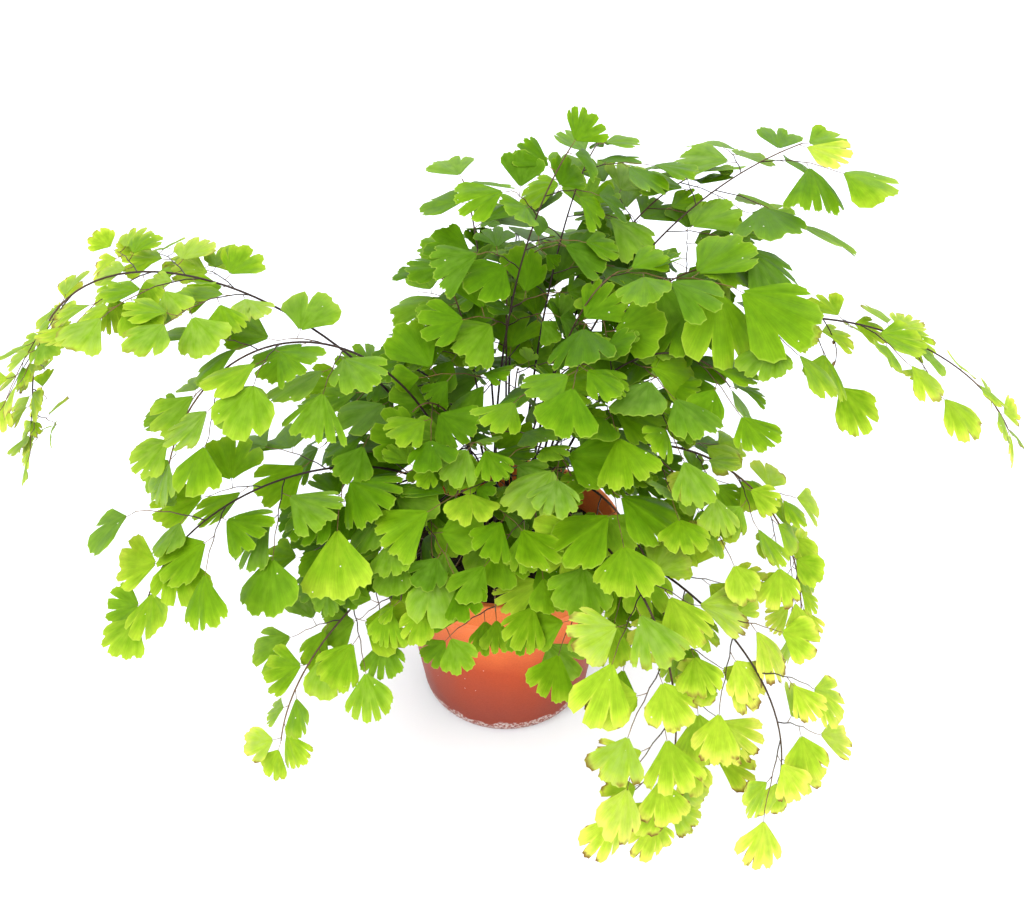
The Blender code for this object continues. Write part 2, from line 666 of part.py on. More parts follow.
def make_crozier(space, crozier, finish, parent):
    """A rolled-up young frond, turned round the crown until it stands free."""
    for turn in range(0, 360, CROZIER_TURN):
        stem = crozier_path(crozier, crozier.azimuth + turn)
        if space.is_free(*crozier_solid(stem, CLEARANCE), ()):
            break
    verts, faces = crozier_solid(stem, 0)
    space.add(verts, faces, crozier.name)
    bm = bmesh.new()
    corner_verts = [bm.verts.new(v) for v in verts]
    for face in faces:
        bm.faces.new([corner_verts[k] for k in face])
    bmesh.ops.recalc_face_normals(bm, faces=bm.faces[:])
    return add_object(crozier.name, bm, finish, parent, True)


def main():
    """Clear the scene and build the potted fern."""
    for old in list(bpy.data.objects):
        bpy.data.objects.remove(old, do_unlink=True)
    plant = bpy.data.objects.new("potted_fern", None)
    bpy.context.scene.collection.objects.link(plant)
    space = Space()
    pot = make_pot(plant)
    space.add([v.co.copy() for v in pot.data.vertices], [p.vertices[:] for p in pot.data.polygons], "pot")
    soil = soil_mesh()
    space.add(*solid_of(soil), "soil")
    add_object("potting_soil", soil, material("peat", (0.035, 0.022, 0.014), 0.95), plant, True)
    rhizome = rhizome_mesh()
    space.add(*solid_of(rhizome), "rhizome")
    add_object("rhizome", rhizome, material("rootstock", (0.05, 0.028, 0.015), 0.85), plant, True)
    stems = [settled_arch(space, frond) for frond in FRONDS]
    coiled = material("young_stalk", (0.16, 0.20, 0.05), 0.55)
    for crozier in CROZIERS:
        make_crozier(space, crozier, coiled, plant)
    green = material("leaflet", (0.16, 0.36, 0.03), 0.5)
    for frond, stem in zip(FRONDS, stems):
        add_object(frond.name, frond_mesh(grow_frond(space, frond, stem)), green, plant, False)


main()
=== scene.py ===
"""The looks of the potted maidenhair fern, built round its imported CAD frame.

The fronds grow here by the same rules, sizes and seeds as in the CAD part, so that each visible
leaflet and stalk lies where its solid is. Metres, +Z up, with the plant's front towards -Y.
"""

import math
import random
from collections import namedtuple

import bmesh
import bpy
import numpy as np
from mathutils import Euler, Matrix, Vector, noise
from mathutils.bvhtree import BVHTree


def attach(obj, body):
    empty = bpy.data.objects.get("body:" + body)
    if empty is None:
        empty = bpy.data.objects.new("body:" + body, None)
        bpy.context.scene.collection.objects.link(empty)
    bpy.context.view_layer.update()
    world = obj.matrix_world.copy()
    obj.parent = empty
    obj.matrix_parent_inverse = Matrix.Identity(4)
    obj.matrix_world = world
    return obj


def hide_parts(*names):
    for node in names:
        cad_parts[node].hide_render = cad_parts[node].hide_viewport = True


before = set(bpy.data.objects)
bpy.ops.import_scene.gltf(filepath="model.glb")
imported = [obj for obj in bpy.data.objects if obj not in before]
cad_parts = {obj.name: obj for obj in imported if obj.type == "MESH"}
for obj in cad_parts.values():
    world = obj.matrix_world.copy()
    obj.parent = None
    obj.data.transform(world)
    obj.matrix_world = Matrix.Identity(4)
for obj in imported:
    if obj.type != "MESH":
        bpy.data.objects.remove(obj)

# ---- Pot and soil ----
# FIBRES has the azimuth in degrees and the height of each fibre that sticks to the pot.
POT_HEIGHT = 0.095
RIM_RADIUS = 0.0525
BASE_RADIUS = 0.039
HEEL_RADIUS = 0.010
POT_WALL = 0.0018
POT_FLOOR = 0.0025
COLLAR_HEIGHT = 0.017
COLLAR_STEP = 0.0009
LIP = 0.0008
DRAIN_HOLES = 6
DRAIN_RADIUS = 0.0045
DRAIN_RING = 0.024
SOIL_TOP = 0.083
SOIL_DOME = 0.004
POT_SIDES = 128
RIDGE_PLACE = 0.22
RIDGE = 0.0004
CORNER = 0.0002
CRUST_HEIGHT = 0.0138
CRUST_RAGGED = 0.0090
SOIL_GAP = 0.0003
SOIL_CENTRE = 0.010
SOIL_RINGS = 26
SOIL_LUMP = 0.0012
CRUMBS = 240
CRUMB_SIZE = (0.0005, 0.0015)
CRUMB_EDGE = 0.006
FIBRE_LENGTH = 0.0028
FIBRE_GAP = 0.0002
FIBRE_RADII = (0.00008, 0.00022, 0.0003, 0.0002, 0.00006)
FIBRES = ((238, 0.056), (242, 0.0545), (311, 0.043), (20, 0.050), (95, 0.033), (160, 0.047))

# ---- Rhizome, stalk feet and rolled-up young fronds ----
RHIZOME_RADIUS = 0.019
RHIZOME_TOP = 0.092
RHIZOME_EDGE = 0.0885
RHIZOME_LUMP = 0.0012
FOOT_NEAR = 0.0065
FOOT_FAR = 0.0172
FULL_REACH = 0.14
FOOT_GAP = 0.0008
CROZIER_WIDTH = 0.0016
CROZIER_COIL = 0.0034
CROZIER_TURNS = 1.25
CROZIER_TIGHTEN = 0.55
CROZIER_THINNING = 0.7
CROZIER_POINTS = 16
Crozier = namedtuple("Crozier", "name azimuth foot height")
CROZIERS = (
    Crozier("crozier_back", 108, 0.0125, 0.022),
    Crozier("crozier_front", 281, 0.0130, 0.027),
    Crozier("crozier_right", 333, 0.0150, 0.018),
)
SCALES = 260
SCALE_LENGTH = (0.0015, 0.0042)
SCALE_RADII = (0.0005, 0.0006, 0.00008)

# ---- Fronds ----
# A stalk is one smooth arch in the upright plane of its azimuth (degrees, 0 is +X, 90 is +Y). It
# leaves the rhizome towards "lift", bends over at ("elbow", "crest") and ends at ("reach", "tip").
# "sway" turns its outer end sideways by some degrees, "spread" is the length of its lowest side
# stalks, "leaf" is its leaflets' length, and "bare" is the share of the stalk below the first of them.
Frond = namedtuple("Frond", "name azimuth sway reach tip lift elbow crest spread leaf bare")
FROND_ROWS = (
    ("long_left", 180, 0, 0.196, 0.142, 0.205, 0.18, 0.282, 0.046, 0.014, 0.48),
    ("second_left", 199, 4, 0.134, 0.16, 0.215, 0.11, 0.235, 0.028, 0.019, 0.52),
    ("low_left", 206, 4, 0.154, 0.122, 0.165, 0.13, 0.177, 0.026, 0.021, 0.42),
    ("hanging_left", 227, -1, 0.126, 0.06, 0.12, 0.112, 0.12, 0.01, 0.017, 0.5),
    ("top", 124, -78, 0.036, 0.256, 0.16, 0.012, 0.222, 0.032, 0.019, 0.36),
    ("top_left", 108, 0, 0.056, 0.234, 0.16, 0.032, 0.226, 0.012, 0.023, 0.4),
    ("top_right", 40, -6, 0.156, 0.238, 0.195, 0.096, 0.23, 0.048, 0.026, 0.42),
    ("upright_right", 58, 6, 0.092, 0.24, 0.17, 0.05, 0.235, 0.044, 0.022, 0.38),
    ("far_right", 6, -4, 0.214, 0.142, 0.235, 0.174, 0.206, 0.016, 0.018, 0.46),
    ("right", 22, 0, 0.112, 0.196, 0.185, 0.08, 0.222, 0.04, 0.022, 0.42),
    ("low_right", -20, 0, 0.132, 0.078, 0.175, 0.12, 0.18, 0.022, 0.0145, 0.44),
    ("hanging_right", -45, -1, 0.15, 0.06, 0.13, 0.146, 0.144, 0.026, 0.018, 0.42),
    ("hanging_front", -58, -3, 0.124, 0.038, 0.15, 0.148, 0.17, 0.022, 0.019, 0.42),
    ("front_right", -55, 6, 0.096, 0.1, 0.16, 0.08, 0.168, 0.03, 0.019, 0.45),
    ("right_inner", -7, 4, 0.09, 0.17, 0.18, 0.066, 0.205, 0.044, 0.022, 0.38),
    ("low_right_inner", -32, 4, 0.084, 0.138, 0.16, 0.062, 0.175, 0.036, 0.021, 0.45),
    ("back", 86, 0, 0.1, 0.18, 0.19, 0.07, 0.23, 0.036, 0.021, 0.45),
    ("back_right", 65, 0, 0.138, 0.142, 0.19, 0.11, 0.215, 0.044, 0.02, 0.42),
    ("back_left", 120, 0, 0.09, 0.11, 0.16, 0.07, 0.165, 0.042, 0.02, 0.42),
    ("left_back", 158, 4, 0.058, 0.158, 0.165, 0.042, 0.182, 0.034, 0.02, 0.38),
    ("left_inner", 192, -4, 0.074, 0.146, 0.16, 0.056, 0.172, 0.032, 0.02, 0.38),
    ("left_front", 216, 6, 0.09, 0.118, 0.15, 0.07, 0.16, 0.038, 0.018, 0.42),
    ("front_left", 238, 4, 0.082, 0.118, 0.145, 0.064, 0.16, 0.034, 0.018, 0.42),
    ("front", -97, 4, 0.064, 0.104, 0.14, 0.06, 0.152, 0.03, 0.018, 0.42),
    ("front_inner", -78, 0, 0.068, 0.128, 0.15, 0.05, 0.17, 0.036, 0.018, 0.42),
    ("front_left_inner", -110, 0, 0.062, 0.134, 0.15, 0.046, 0.172, 0.036, 0.018, 0.42),
    ("crown_back", 88, 0, 0.034, 0.206, 0.15, 0.02, 0.2, 0.04, 0.021, 0.38),
    ("crown_left", 118, 0, 0.034, 0.204, 0.15, 0.022, 0.204, 0.02, 0.02, 0.38),
    ("crown_front", 262, 4, 0.044, 0.156, 0.14, 0.03, 0.165, 0.036, 0.018, 0.42),
    ("crown_right", -28, 4, 0.062, 0.172, 0.15, 0.044, 0.185, 0.04, 0.021, 0.38),
    ("centre", -50, 10, 0.04, 0.192, 0.15, 0.024, 0.19, 0.04, 0.021, 0.38),
    ("centre_right", 12, 8, 0.048, 0.21, 0.155, 0.028, 0.205, 0.042, 0.022, 0.38),
    ("top_right_inner", 50, -4, 0.132, 0.224, 0.19, 0.078, 0.226, 0.046, 0.023, 0.42),
    ("crown_front_left", 228, 6, 0.052, 0.15, 0.14, 0.036, 0.172, 0.036, 0.019, 0.4),
    ("crown_front_right", 304, 6, 0.048, 0.152, 0.14, 0.034, 0.172, 0.036, 0.019, 0.4),
    ("heart_left", 200, 6, 0.04, 0.166, 0.14, 0.026, 0.178, 0.034, 0.019, 0.4),
    ("heart_right", 340, 6, 0.034, 0.16, 0.14, 0.022, 0.17, 0.034, 0.019, 0.4),
    ("rim_left", 226, -4, 0.08, 0.106, 0.115, 0.06, 0.132, 0.028, 0.018, 0.46),
    ("heart_back", 95, 0, 0.02, 0.164, 0.138, 0.016, 0.172, 0.034, 0.019, 0.42),
    ("heart_front", 242, 0, 0.028, 0.148, 0.132, 0.02, 0.16, 0.032, 0.019, 0.42),
    ("rim_right", 291, 4, 0.084, 0.104, 0.115, 0.062, 0.136, 0.028, 0.018, 0.46),
)
FRONDS = [Frond("frond_" + name, *sizes) for name, *sizes in FROND_ROWS]
HANDLE = 0.08

# ---- Stalks ----
# PINNA_STEP and LEAF_STEP are half the distance between pairs, as shares of the leaflets' length.
# Above 1, TIP_CROWDING brings a main stalk's pairs closer together towards its tip.
STIPE_WIDTH = 0.0013
TWIG_WIDTH = 0.0007
ARCH_POINTS = 48
STIPE_RINGS = 5
PINNA_STEP = 0.53
TIP_CROWDING = 1.25
LEAF_STEP = 0.54
TWIG_POINTS = 6
TWIG_DROOP = 0.26
TWIG_END = 0.35
TWIG_TILT = 0.3
PINNA_ANGLE = math.radians(58)
LEAF_ANGLE = math.radians(55)
STAGGER = 0.4
STALK_TRIES = 31
STALK_TURN = 2
TWIG_TRIES = 9
TRIES_PER_LENGTH = 3
CROZIER_TURN = 12
CLEARANCE = 0.0007
LOWEST = 0.006

# ---- Leaflets ----
# A leaflet faces the mean of four directions with these weights, and some chance.
BLADE = 0.55
UPWARD = 0.85
OUTWARD = 0.30
FORWARD = 0.25
NOISE = 0.40
NOISE_PER_TRY = 0.07
SAG = 0.22
SWERVE = 0.2
LEAST_SLOPE = 0.3
LEAF_TRIES = 14
LEAF_STALK = 0.0035
LEAF_THICKNESS = 0.0006
LEAF_WIDTH = 1.12
SHOULDER = 0.68
TIP_SHRINK = 0.35
LENGTH_RANGE = (0.85, 1.12)
WIDTH_RANGE = (0.85, 1.15)
LESS_PER_TRY = 0.05
TWIG_END_LEAF = 1.05
FROND_END_LEAF = 0.8

# ---- The look of stalks and leaflets ----
# Shades run from a stalk's dark foot, 0, to its brown tip, 1, and say where a tube starts and ends.
# A leaflet's margin has lobes of LOBE_WIDTHS, parted by notches whose depths are shares of its
# length. LOBE_STEPS are the places across a lobe, from -1 to 1, that its outline passes through.
STALK_RADIUS = 0.00062
STALK_TIP_RADIUS = 0.00028
TWIG_RADIUS = 0.00026
TWIG_KINK = 0.00025
PETIOLE_RADIUS = 0.00014
TWIG_TIP_RADIUS = PETIOLE_RADIUS * 1.15
PETIOLE_TAPER = (1.25, 1.0, 0.8)
PETIOLE_SAG = 0.06
PETIOLE_OVERLAP = 0.08
STALK_SHADES = (0.0, 0.8)
TWIG_SHADES = (0.35, 0.9)
PETIOLE_SHADES = (0.7, 1.0)
LEAF_SHEET = 0.00026
SHEET_THINNING = 0.45
LEAF_GROWTH = 1.10
SIDE_CURVE = 2.2
FAN_HALF_ANGLE = (39, 58)
FAN_ROWS = (0.05, 0.4, 0.76, 1.0)
LOBES = (3, 4, 4, 5, 5, 6)
LOBE_WIDTHS = (0.7, 1.3)
LOBE_STEPS = (-1, -0.86, -0.62, -0.32, 0, 0.32, 0.62, 0.86)
SIDE_ROUNDING = 0.12
SHALLOW_NOTCH = (0.06, 0.14)
DEEP_NOTCH = (0.18, 0.42)
DEEP_SHARE = 0.36
DEEP_WITH_AGE = 0.50
LOBE_POWER = 2.6
NOTCH_POWER = 5
TOOTH = 0.022
TOOTH_VARIES = (0.3, 1.0)
LOPSIDED = 0.16
DROOP = (0.10, 0.11)
CUP = (-0.42, 0.30)
TWIST = 0.25
RIPPLE = 0.03
RIPPLES = 2.2
# A frond's age is how far its leaflets have turned from green, 0, to yellow, 1. To it come the
# shares below, which grow out from the plant's middle, down it, and towards its sunny side.
AGE_REACH = 0.17
SUNNY_SIDE = Vector((0.45, -0.90, 0))
OUTER_AGE = 0.22
SUNNY_AGE = 0.24
LOW_AGE = 0.18
AGE_SPREAD = 0.05
YELLOWED_AGE = (0.12, 0.28)
OLDEST_AGE = 0.66
FROND_AGE = 0.19
FROND_AGES = {
    "frond_hanging_front": 0.32,
    "frond_hanging_right": 0.36,
    "frond_low_right": 0.34,
    "frond_low_right_inner": 0.26,
    "frond_front_right": 0.26,
    "frond_far_right": 0.30,
    "frond_long_left": 0.36,
    "frond_second_left": 0.26,
    "frond_hanging_left": 0.30,
    "frond_rim_right": 0.26,
    "frond_crown_front": 0.26,
    "frond_front_inner": 0.26,
}
YELLOWED_SHARE = 0.012
WITHERED_ON = "frond_far_right"
WITHERED_PLACE = 0.62
WITHERED_LENGTH = 0.028
WITHERED_POINTS = 8
WITHERED_BOW = 0.25
WITHERED_LEAN = 0.3
WITHERED_SHADES = (0.4, 0.9)
SHRIVELLED_LENGTH = (0.10, 0.16)
SHRIVELLED_SHADES = (0.9, 1.3)
SHRIVELLED_FLAT = 0.4

# ---- Colours ----
# A ramp has (place, colour) stops: by age on a leaf or stalk, by height on the pot, where it paints shade,
# lighter at the top and darker towards the foot.
LEAF_AGES = (
    (0.0, (0.048, 0.138, 0.001)),
    (0.22, (0.092, 0.228, 0.0015)),
    (0.45, (0.190, 0.368, 0.006)),
    (0.70, (0.400, 0.565, 0.030)),
    (1.0, (0.700, 0.715, 0.120)),
)
# LEAF_PAINTED_SHEEN is painted sheen: a pale grey-green that stands in for the sky's reflection on some
# leaflets.
LEAF_PAINTED_SHEEN = (0.30, 0.45, 0.12, 1)
LEAF_RIM = (0.46, 0.60, 0.08, 1)
LEAF_UNDERSIDE = (0.24, 0.38, 0.06, 1)
LEAF_SCORCH = (0.20, 0.10, 0.025, 1)
LEAF_SPECK = (0.80, 0.84, 0.74, 1)
LEAF_SHINE = (0.75, 1.0, 0.25, 1)
LEAF_GLOW = (1.60, 1.25, 0.40, 1)
STALK_COLOURS = ((0.0, (0.010, 0.006, 0.006)), (0.55, (0.034, 0.017, 0.009)), (1.0, (0.190, 0.105, 0.034)))
POT_SHADE_LEVELS = (
    (0.0, (0.200, 0.036, 0.022)),
    (0.12, (0.245, 0.042, 0.022)),
    (0.54, (0.400, 0.058, 0.018)),
    (0.93, (0.840, 0.190, 0.050)),
    (1.0, (0.860, 0.205, 0.058)),
)
POT_SPECK = (0.85, 0.66, 0.58, 1)
POT_CRUST = (0.50, 0.42, 0.40, 1)
POT_DIRT = (0.05, 0.03, 0.025, 1)
PEAT_COLOURS = ((0.006, 0.004, 0.003), (0.105, 0.062, 0.034))
ROOTSTOCK_COLOURS = ((0.010, 0.006, 0.004), (0.140, 0.075, 0.030))
YOUNG_COLOURS = ((0.0, (0.10, 0.12, 0.02)), (1.0, (0.26, 0.36, 0.05)))
YOUNG_HAIR = (0.12, 0.06, 0.02, 1)

# ---- Floor, light and camera ----
# Each lamp has a name, a place, what it is aimed at, its size, its power in watts and its colour.
FLOOR_SIZE = 8.0
FLOOR_GAP = 0.0003
WORLD_LIGHT = 1.15
LAMPS = (
    ("key", (-0.7, -1.5, 1.6), (0, 0, 0.10), 1.8, 50, (1.0, 0.985, 0.970)),
    ("fill", (1.4, -1.3, 0.9), (0, 0, 0.08), 1.8, 20, (0.95, 0.98, 1.0)),
    ("back", (0.3, 1.6, 1.5), (0, 0, 0.15), 1.8, 18, (1.0, 1.0, 1.0)),
)
CAMERA_PLACE = (0.003, -0.348, 0.376)
CAMERA_PITCH = 35
LENS = 35.16

UP = Vector((0, 0, 1))
FRONT = Vector((0, -1, 0))

Leaf = namedtuple("Leaf", "root axis normal length width")
Stem = namedtuple("Stem", "points lengths side width rings joints")
Bud = namedtuple("Bud", "anchor root tangent side blade")
Growth = namedtuple("Growth", "stem pairs end")
Section = namedtuple("Section", "centre across upward width thickness")


# ---- Growth: as in the CAD part ----
def rhizome_top(radius):
    """Height of the rhizome's domed top at a distance from its middle."""
    return RHIZOME_TOP - (RHIZOME_TOP - RHIZOME_EDGE) * (radius / RHIZOME_RADIUS) ** 2


class Space:
    """The solids placed so far, each with a ball round it that rules out most tests."""

    def __init__(self):
        self.taken = []

    def add(self, verts, faces, owner):
        """Add a solid that belongs to an owner, which may be anything that can be compared."""
        middle = sum(verts, Vector()) / len(verts)
        radius = max((v - middle).length for v in verts)
        self.taken.append((middle, radius, BVHTree.FromPolygons(verts, faces), owner))

    def is_free(self, verts, faces, owners):
        """True if this solid is above the ground and touches nothing but what the owners have placed."""
        if min(v.z for v in verts) < LOWEST:
            return False
        middle = sum(verts, Vector()) / len(verts)
        radius = max((v - middle).length for v in verts)
        tree = BVHTree.FromPolygons(verts, faces)
        for other_middle, other_radius, other, owner in self.taken:
            if owner in owners or (middle - other_middle).length > radius + other_radius:
                continue
            if tree.overlap(other):
                return False
        return True


def corners(section):
    """The four corners of a cross-section, in order round it."""
    across = section.across * section.width / 2
    upward = section.upward * section.thickness / 2
    steps = (across + upward, upward - across, -across - upward, across - upward)
    return [section.centre + step for step in steps]


def loft(sections):
    """The corners and faces of a closed solid through four-cornered sections."""
    verts = [corner for section in sections for corner in corners(section)]
    faces = [(0, 1, 2, 3), tuple(len(verts) - k for k in (1, 2, 3, 4))]
    for first in range(0, len(verts) - 4, 4):
        for k in range(4):
            n = (k + 1) % 4
            faces.append((first + k, first + n, first + 4 + n, first + 4 + k))
    return verts, faces


def stem_solid(stem, extra, anchor=None):
    """A stalk as a solid, thicker by "extra" on each side. A side stalk starts at its anchor."""
    size = stem.width + 2 * extra
    sections = []
    for distance in (*stem.rings, *stem.joints, stem.lengths[-1]):
        centre, tangent, side = at(stem, distance)
        sections.append(Section(centre, side, tangent.cross(side), size, size))
    if anchor:
        sections.insert(0, sections[0]._replace(centre=anchor))
    return loft(sections)


def leaf_solid(leaf, extra, anchor):
    """A leaflet as a solid from its anchor on, thicker by "extra" on each face and at its edges."""
    across = leaf.normal.cross(leaf.axis)
    widest = leaf.root + leaf.axis * (LEAF_STALK + leaf.length * SHOULDER)
    tip = leaf.root + leaf.axis * (LEAF_STALK + leaf.length)
    sections = []
    for centre, width in ((anchor, TWIG_WIDTH), (widest, leaf.width), (tip, leaf.width / 4)):
        width += 2 * extra
        sections.append(Section(centre, across, leaf.normal, width, LEAF_THICKNESS + 2 * extra))
    return loft(sections)


def make_stem(points, side, width):
    """A stalk along points, with the distance of each from the first."""
    lengths = [0.0]
    for first, second in zip(points, points[1:]):
        lengths.append(lengths[-1] + (second - first).length)
    return Stem(points, lengths, side, width, (), ())


def paced(first, step, last):
    """Distances from the first to before the last, a step apart."""
    return tuple(first + step * i for i in range(math.ceil((last - first) / step)))


def at(stem, distance):
    """The point, tangent and sideways direction at a distance along a stalk."""
    last = len(stem.points) - 2
    i = max(k for k in range(last + 1) if stem.lengths[k] <= distance or k == 0)
    run = stem.lengths[i + 1] - stem.lengths[i]
    share = (distance - stem.lengths[i]) / run
    point = stem.points[i].lerp(stem.points[i + 1], share)
    before = stem.points[i] - stem.points[max(i - 1, 0)]
    here = stem.points[i + 1] - stem.points[i]
    tangent = (here.normalized() + before.normalized()).normalized()
    side = (stem.side - tangent * stem.side.dot(tangent)).normalized()
    return point, tangent, side


def polar(azimuth, radius, height):
    """A point at an azimuth in degrees, a distance from the Z axis and a height."""
    angle = math.radians(azimuth)
    return Vector((radius * math.cos(angle), radius * math.sin(angle), height))


def foot_radius(reach):
    """How far out a stalk stands on the rhizome: far-reaching fronds stand near its rim."""
    return FOOT_NEAR + (FOOT_FAR - FOOT_NEAR) * min(reach / FULL_REACH, 1)


def arch(frond):
    """The main stalk of a frond."""
    foot = foot_radius(frond.reach)
    low = rhizome_top(foot) + FOOT_GAP
    far = frond.azimuth + frond.sway
    handles = (
        polar(frond.azimuth, foot, low),
        polar(frond.azimuth, foot + (frond.elbow - foot) * HANDLE, frond.lift),
        polar((frond.azimuth + far) / 2, frond.elbow, frond.crest),
        polar(far, frond.reach, frond.tip),
    )
    points = []
    for i in range(ARCH_POINTS + 1):
        t = i / ARCH_POINTS
        weights = ((1 - t) ** 3, 3 * t * (1 - t) ** 2, 3 * t * t * (1 - t), t**3)
        points.append(sum((h * w for h, w in zip(handles, weights)), Vector()))
    stem = make_stem(points, polar(frond.azimuth + 90, 1, 0), STIPE_WIDTH)
    start = stem.lengths[-1] * frond.bare
    leafy = stem.lengths[-1] - start
    count = round(leafy / (2 * PINNA_STEP * frond.leaf))
    remaining = [(1 - (i + 0.5) / count) ** TIP_CROWDING for i in range(count)]
    joints = tuple(start + leafy * (1 - share) for share in remaining)
    return stem._replace(rings=paced(0, start / STIPE_RINGS, start), joints=joints)


def turn_towards(tangent, side, hand, angle, tilt):
    """The direction that leaves a stalk at an angle to one hand (1 left, -1 right), tilted up."""
    out = side * (hand * math.cos(tilt)) + tangent.cross(side) * math.sin(tilt)
    return (tangent * math.cos(angle) + out * math.sin(angle)).normalized()


def facing(blade, place, chance, strength):
    """The way a leaflet faces: with its frond's blade, up to the light, and outwards."""
    outward = Vector((place.x, place.y, 0)).normalized()
    noise = Vector([chance.uniform(-1, 1) for _ in range(3)])
    wanted = blade * BLADE + UP * UPWARD + outward * OUTWARD + FRONT * FORWARD
    return (wanted + noise * strength).normalized()


def bud(stem, middle, hand, step, width):
    """Where something grows from a stalk's joint to one hand: the two hands of a pair are staggered."""
    root, tangent, side = at(stem, middle - hand * STAGGER * step)
    anchor = at(stem, middle)[0] + side * (hand * width)
    return Bud(anchor, root, tangent, side, tangent.cross(side))


def end_bud(stem):
    """Where something grows from a stalk's end."""
    root, tangent, side = at(stem, stem.lengths[-1])
    return Bud(root, root, tangent, side, tangent.cross(side))


def grow_leaf(space, start, heading, size, owners, chance):
    """A leaflet at a bud, or None where no turn of it finds room."""
    for attempt in range(LEAF_TRIES):
        normal = facing(start.blade, start.root, chance, NOISE + NOISE_PER_TRY * attempt)
        sagging = (heading - UP * SAG + FRONT * chance.uniform(-SWERVE, SWERVE)).normalized()
        axis = sagging - normal * sagging.dot(normal)
        length = size * chance.uniform(*LENGTH_RANGE) * (1 - LESS_PER_TRY * attempt)
        width = length * LEAF_WIDTH * chance.uniform(*WIDTH_RANGE)
        if axis.length < LEAST_SLOPE:
            continue
        leaf = Leaf(start.root, axis.normalized(), normal, length, width)
        if space.is_free(*leaf_solid(leaf, CLEARANCE, start.anchor), owners):
            space.add(*leaf_solid(leaf, 0, start.anchor), "leaflet")
            return leaf
    return None


def twig_stem(frond, root, heading, blade, pairs):
    """A side stalk long enough for some pairs of leaflets, bending down under their weight."""
    step = LEAF_STEP * frond.leaf
    length = step * (2 * pairs + TWIG_END)
    points = []
    for i in range(TWIG_POINTS + 1):
        share = i / TWIG_POINTS
        points.append(root + heading * (length * share) - UP * (TWIG_DROOP * length * share**2))
    stem = make_stem(points, blade.cross(heading).normalized(), TWIG_WIDTH)
    return stem._replace(joints=paced(step, 2 * step, stem.lengths[-1]))


def grow_twig(space, start, frond, heading, pairs, size, chance):
    """A side stalk with alternate leaflets and one at its end, or None where it finds no room."""
    stem = twig_stem(frond, start.root, heading, start.blade, pairs)
    stalk = frond.name + "_stalk"
    if not space.is_free(*stem_solid(stem, CLEARANCE, start.anchor), (stalk,)):
        return None
    name = f"{stalk}_{chance.random()}"
    space.add(*stem_solid(stem, 0, start.anchor), name)
    owners = (name, stalk)
    grown_pairs = []
    for middle in stem.joints:
        grown = []
        for hand in (1, -1):
            place = bud(stem, middle, hand, LEAF_STEP * frond.leaf, TWIG_WIDTH)._replace(blade=start.blade)
            turned_out = turn_towards(place.tangent, place.side, hand, LEAF_ANGLE, 0)
            grown.append(grow_leaf(space, place, turned_out, size, owners, chance))
        grown_pairs.append(grown)
    tip = end_bud(stem)._replace(blade=start.blade)
    end = grow_leaf(space, tip, tip.tangent, size * TWIG_END_LEAF, owners, chance)
    return Growth(stem, grown_pairs, end)


def grow_side(space, frond, start, hand, pairs, size, chance):
    """What a main stalk carries at one bud: a side stalk, or a single leaflet where it would be short."""
    for attempt in range(TWIG_TRIES):
        tilt = chance.uniform(-TWIG_TILT, TWIG_TILT) * (1 + attempt / 2)
        heading = turn_towards(start.tangent, start.side, hand, PINNA_ANGLE, tilt)
        fewer = max(pairs - attempt // TRIES_PER_LENGTH, 1)
        if pairs < 1:
            grown = grow_leaf(space, start, heading, size, (frond.name + "_stalk",), chance)
        else:
            grown = grow_twig(space, start, frond, heading, fewer, size, chance)
        if grown:
            return grown
    return None


def grow_frond(space, frond, stem):
    """A whole frond on its main stalk: longer side stalks low down, single leaflets near the tip."""
    chance = random.Random(frond.name)
    grown_pairs = []
    for k, middle in enumerate(stem.joints):
        share = k / len(stem.joints)
        size = frond.leaf * (1 - TIP_SHRINK * share)
        pairs = round(frond.spread * (1 - share) / (2 * LEAF_STEP * frond.leaf))
        grown = []
        for hand in (1, -1):
            start = bud(stem, middle, hand, PINNA_STEP * frond.leaf, STIPE_WIDTH)
            grown.append(grow_side(space, frond, start, hand, pairs, size, chance))
        grown_pairs.append(grown)
    tip = end_bud(stem)
    stalk = frond.name + "_stalk"
    end = grow_leaf(space, tip, tip.tangent, frond.leaf * FROND_END_LEAF, (stalk,), chance)
    return Growth(stem, grown_pairs, end)


def settled_arch(space, frond):
    """The frond's main stalk, turned a little where it would touch one that already stands."""
    for step in range(STALK_TRIES):
        turn = STALK_TURN * ((step + 1) // 2) * (-1) ** step
        stem = arch(frond._replace(azimuth=frond.azimuth + turn))
        if space.is_free(*stem_solid(stem, CLEARANCE), ()):
            break
    space.add(*stem_solid(stem, 0), frond.name + "_stalk")
    return stem


def stem_section(stem, distance, widths):
    """The square cross-section of a tapering stalk at a distance along it."""
    centre, tangent, side = at(stem, distance)
    size = widths[0] + (widths[1] - widths[0]) * distance / stem.lengths[-1]
    return Section(centre, side, tangent.cross(side), size, size)


def crozier_path(crozier, azimuth):
    """The middle line of a rolled-up young frond: straight up, then round in a tightening coil."""
    foot = polar(azimuth, crozier.foot, rhizome_top(crozier.foot) + FOOT_GAP)
    outward = polar(azimuth, 1, 0)
    top = foot + UP * crozier.height
    points = [foot, foot + UP * (crozier.height / 2)]
    for i in range(CROZIER_POINTS + 1):
        share = i / CROZIER_POINTS
        angle = math.pi - math.tau * CROZIER_TURNS * share
        radius = CROZIER_COIL * (1 - CROZIER_TIGHTEN * share)
        middle = top + outward * CROZIER_COIL
        points.append(middle + outward * (radius * math.cos(angle)) + UP * (radius * math.sin(angle)))
    return make_stem(points, polar(azimuth + 90, 1, 0), CROZIER_WIDTH)


def crozier_solid(stem, extra):
    """A rolled-up young frond as a solid, thicker by "extra" on each side."""
    widths = (CROZIER_WIDTH + 2 * extra, CROZIER_WIDTH * CROZIER_THINNING + 2 * extra)
    return loft([stem_section(stem, distance, widths) for distance in stem.lengths])


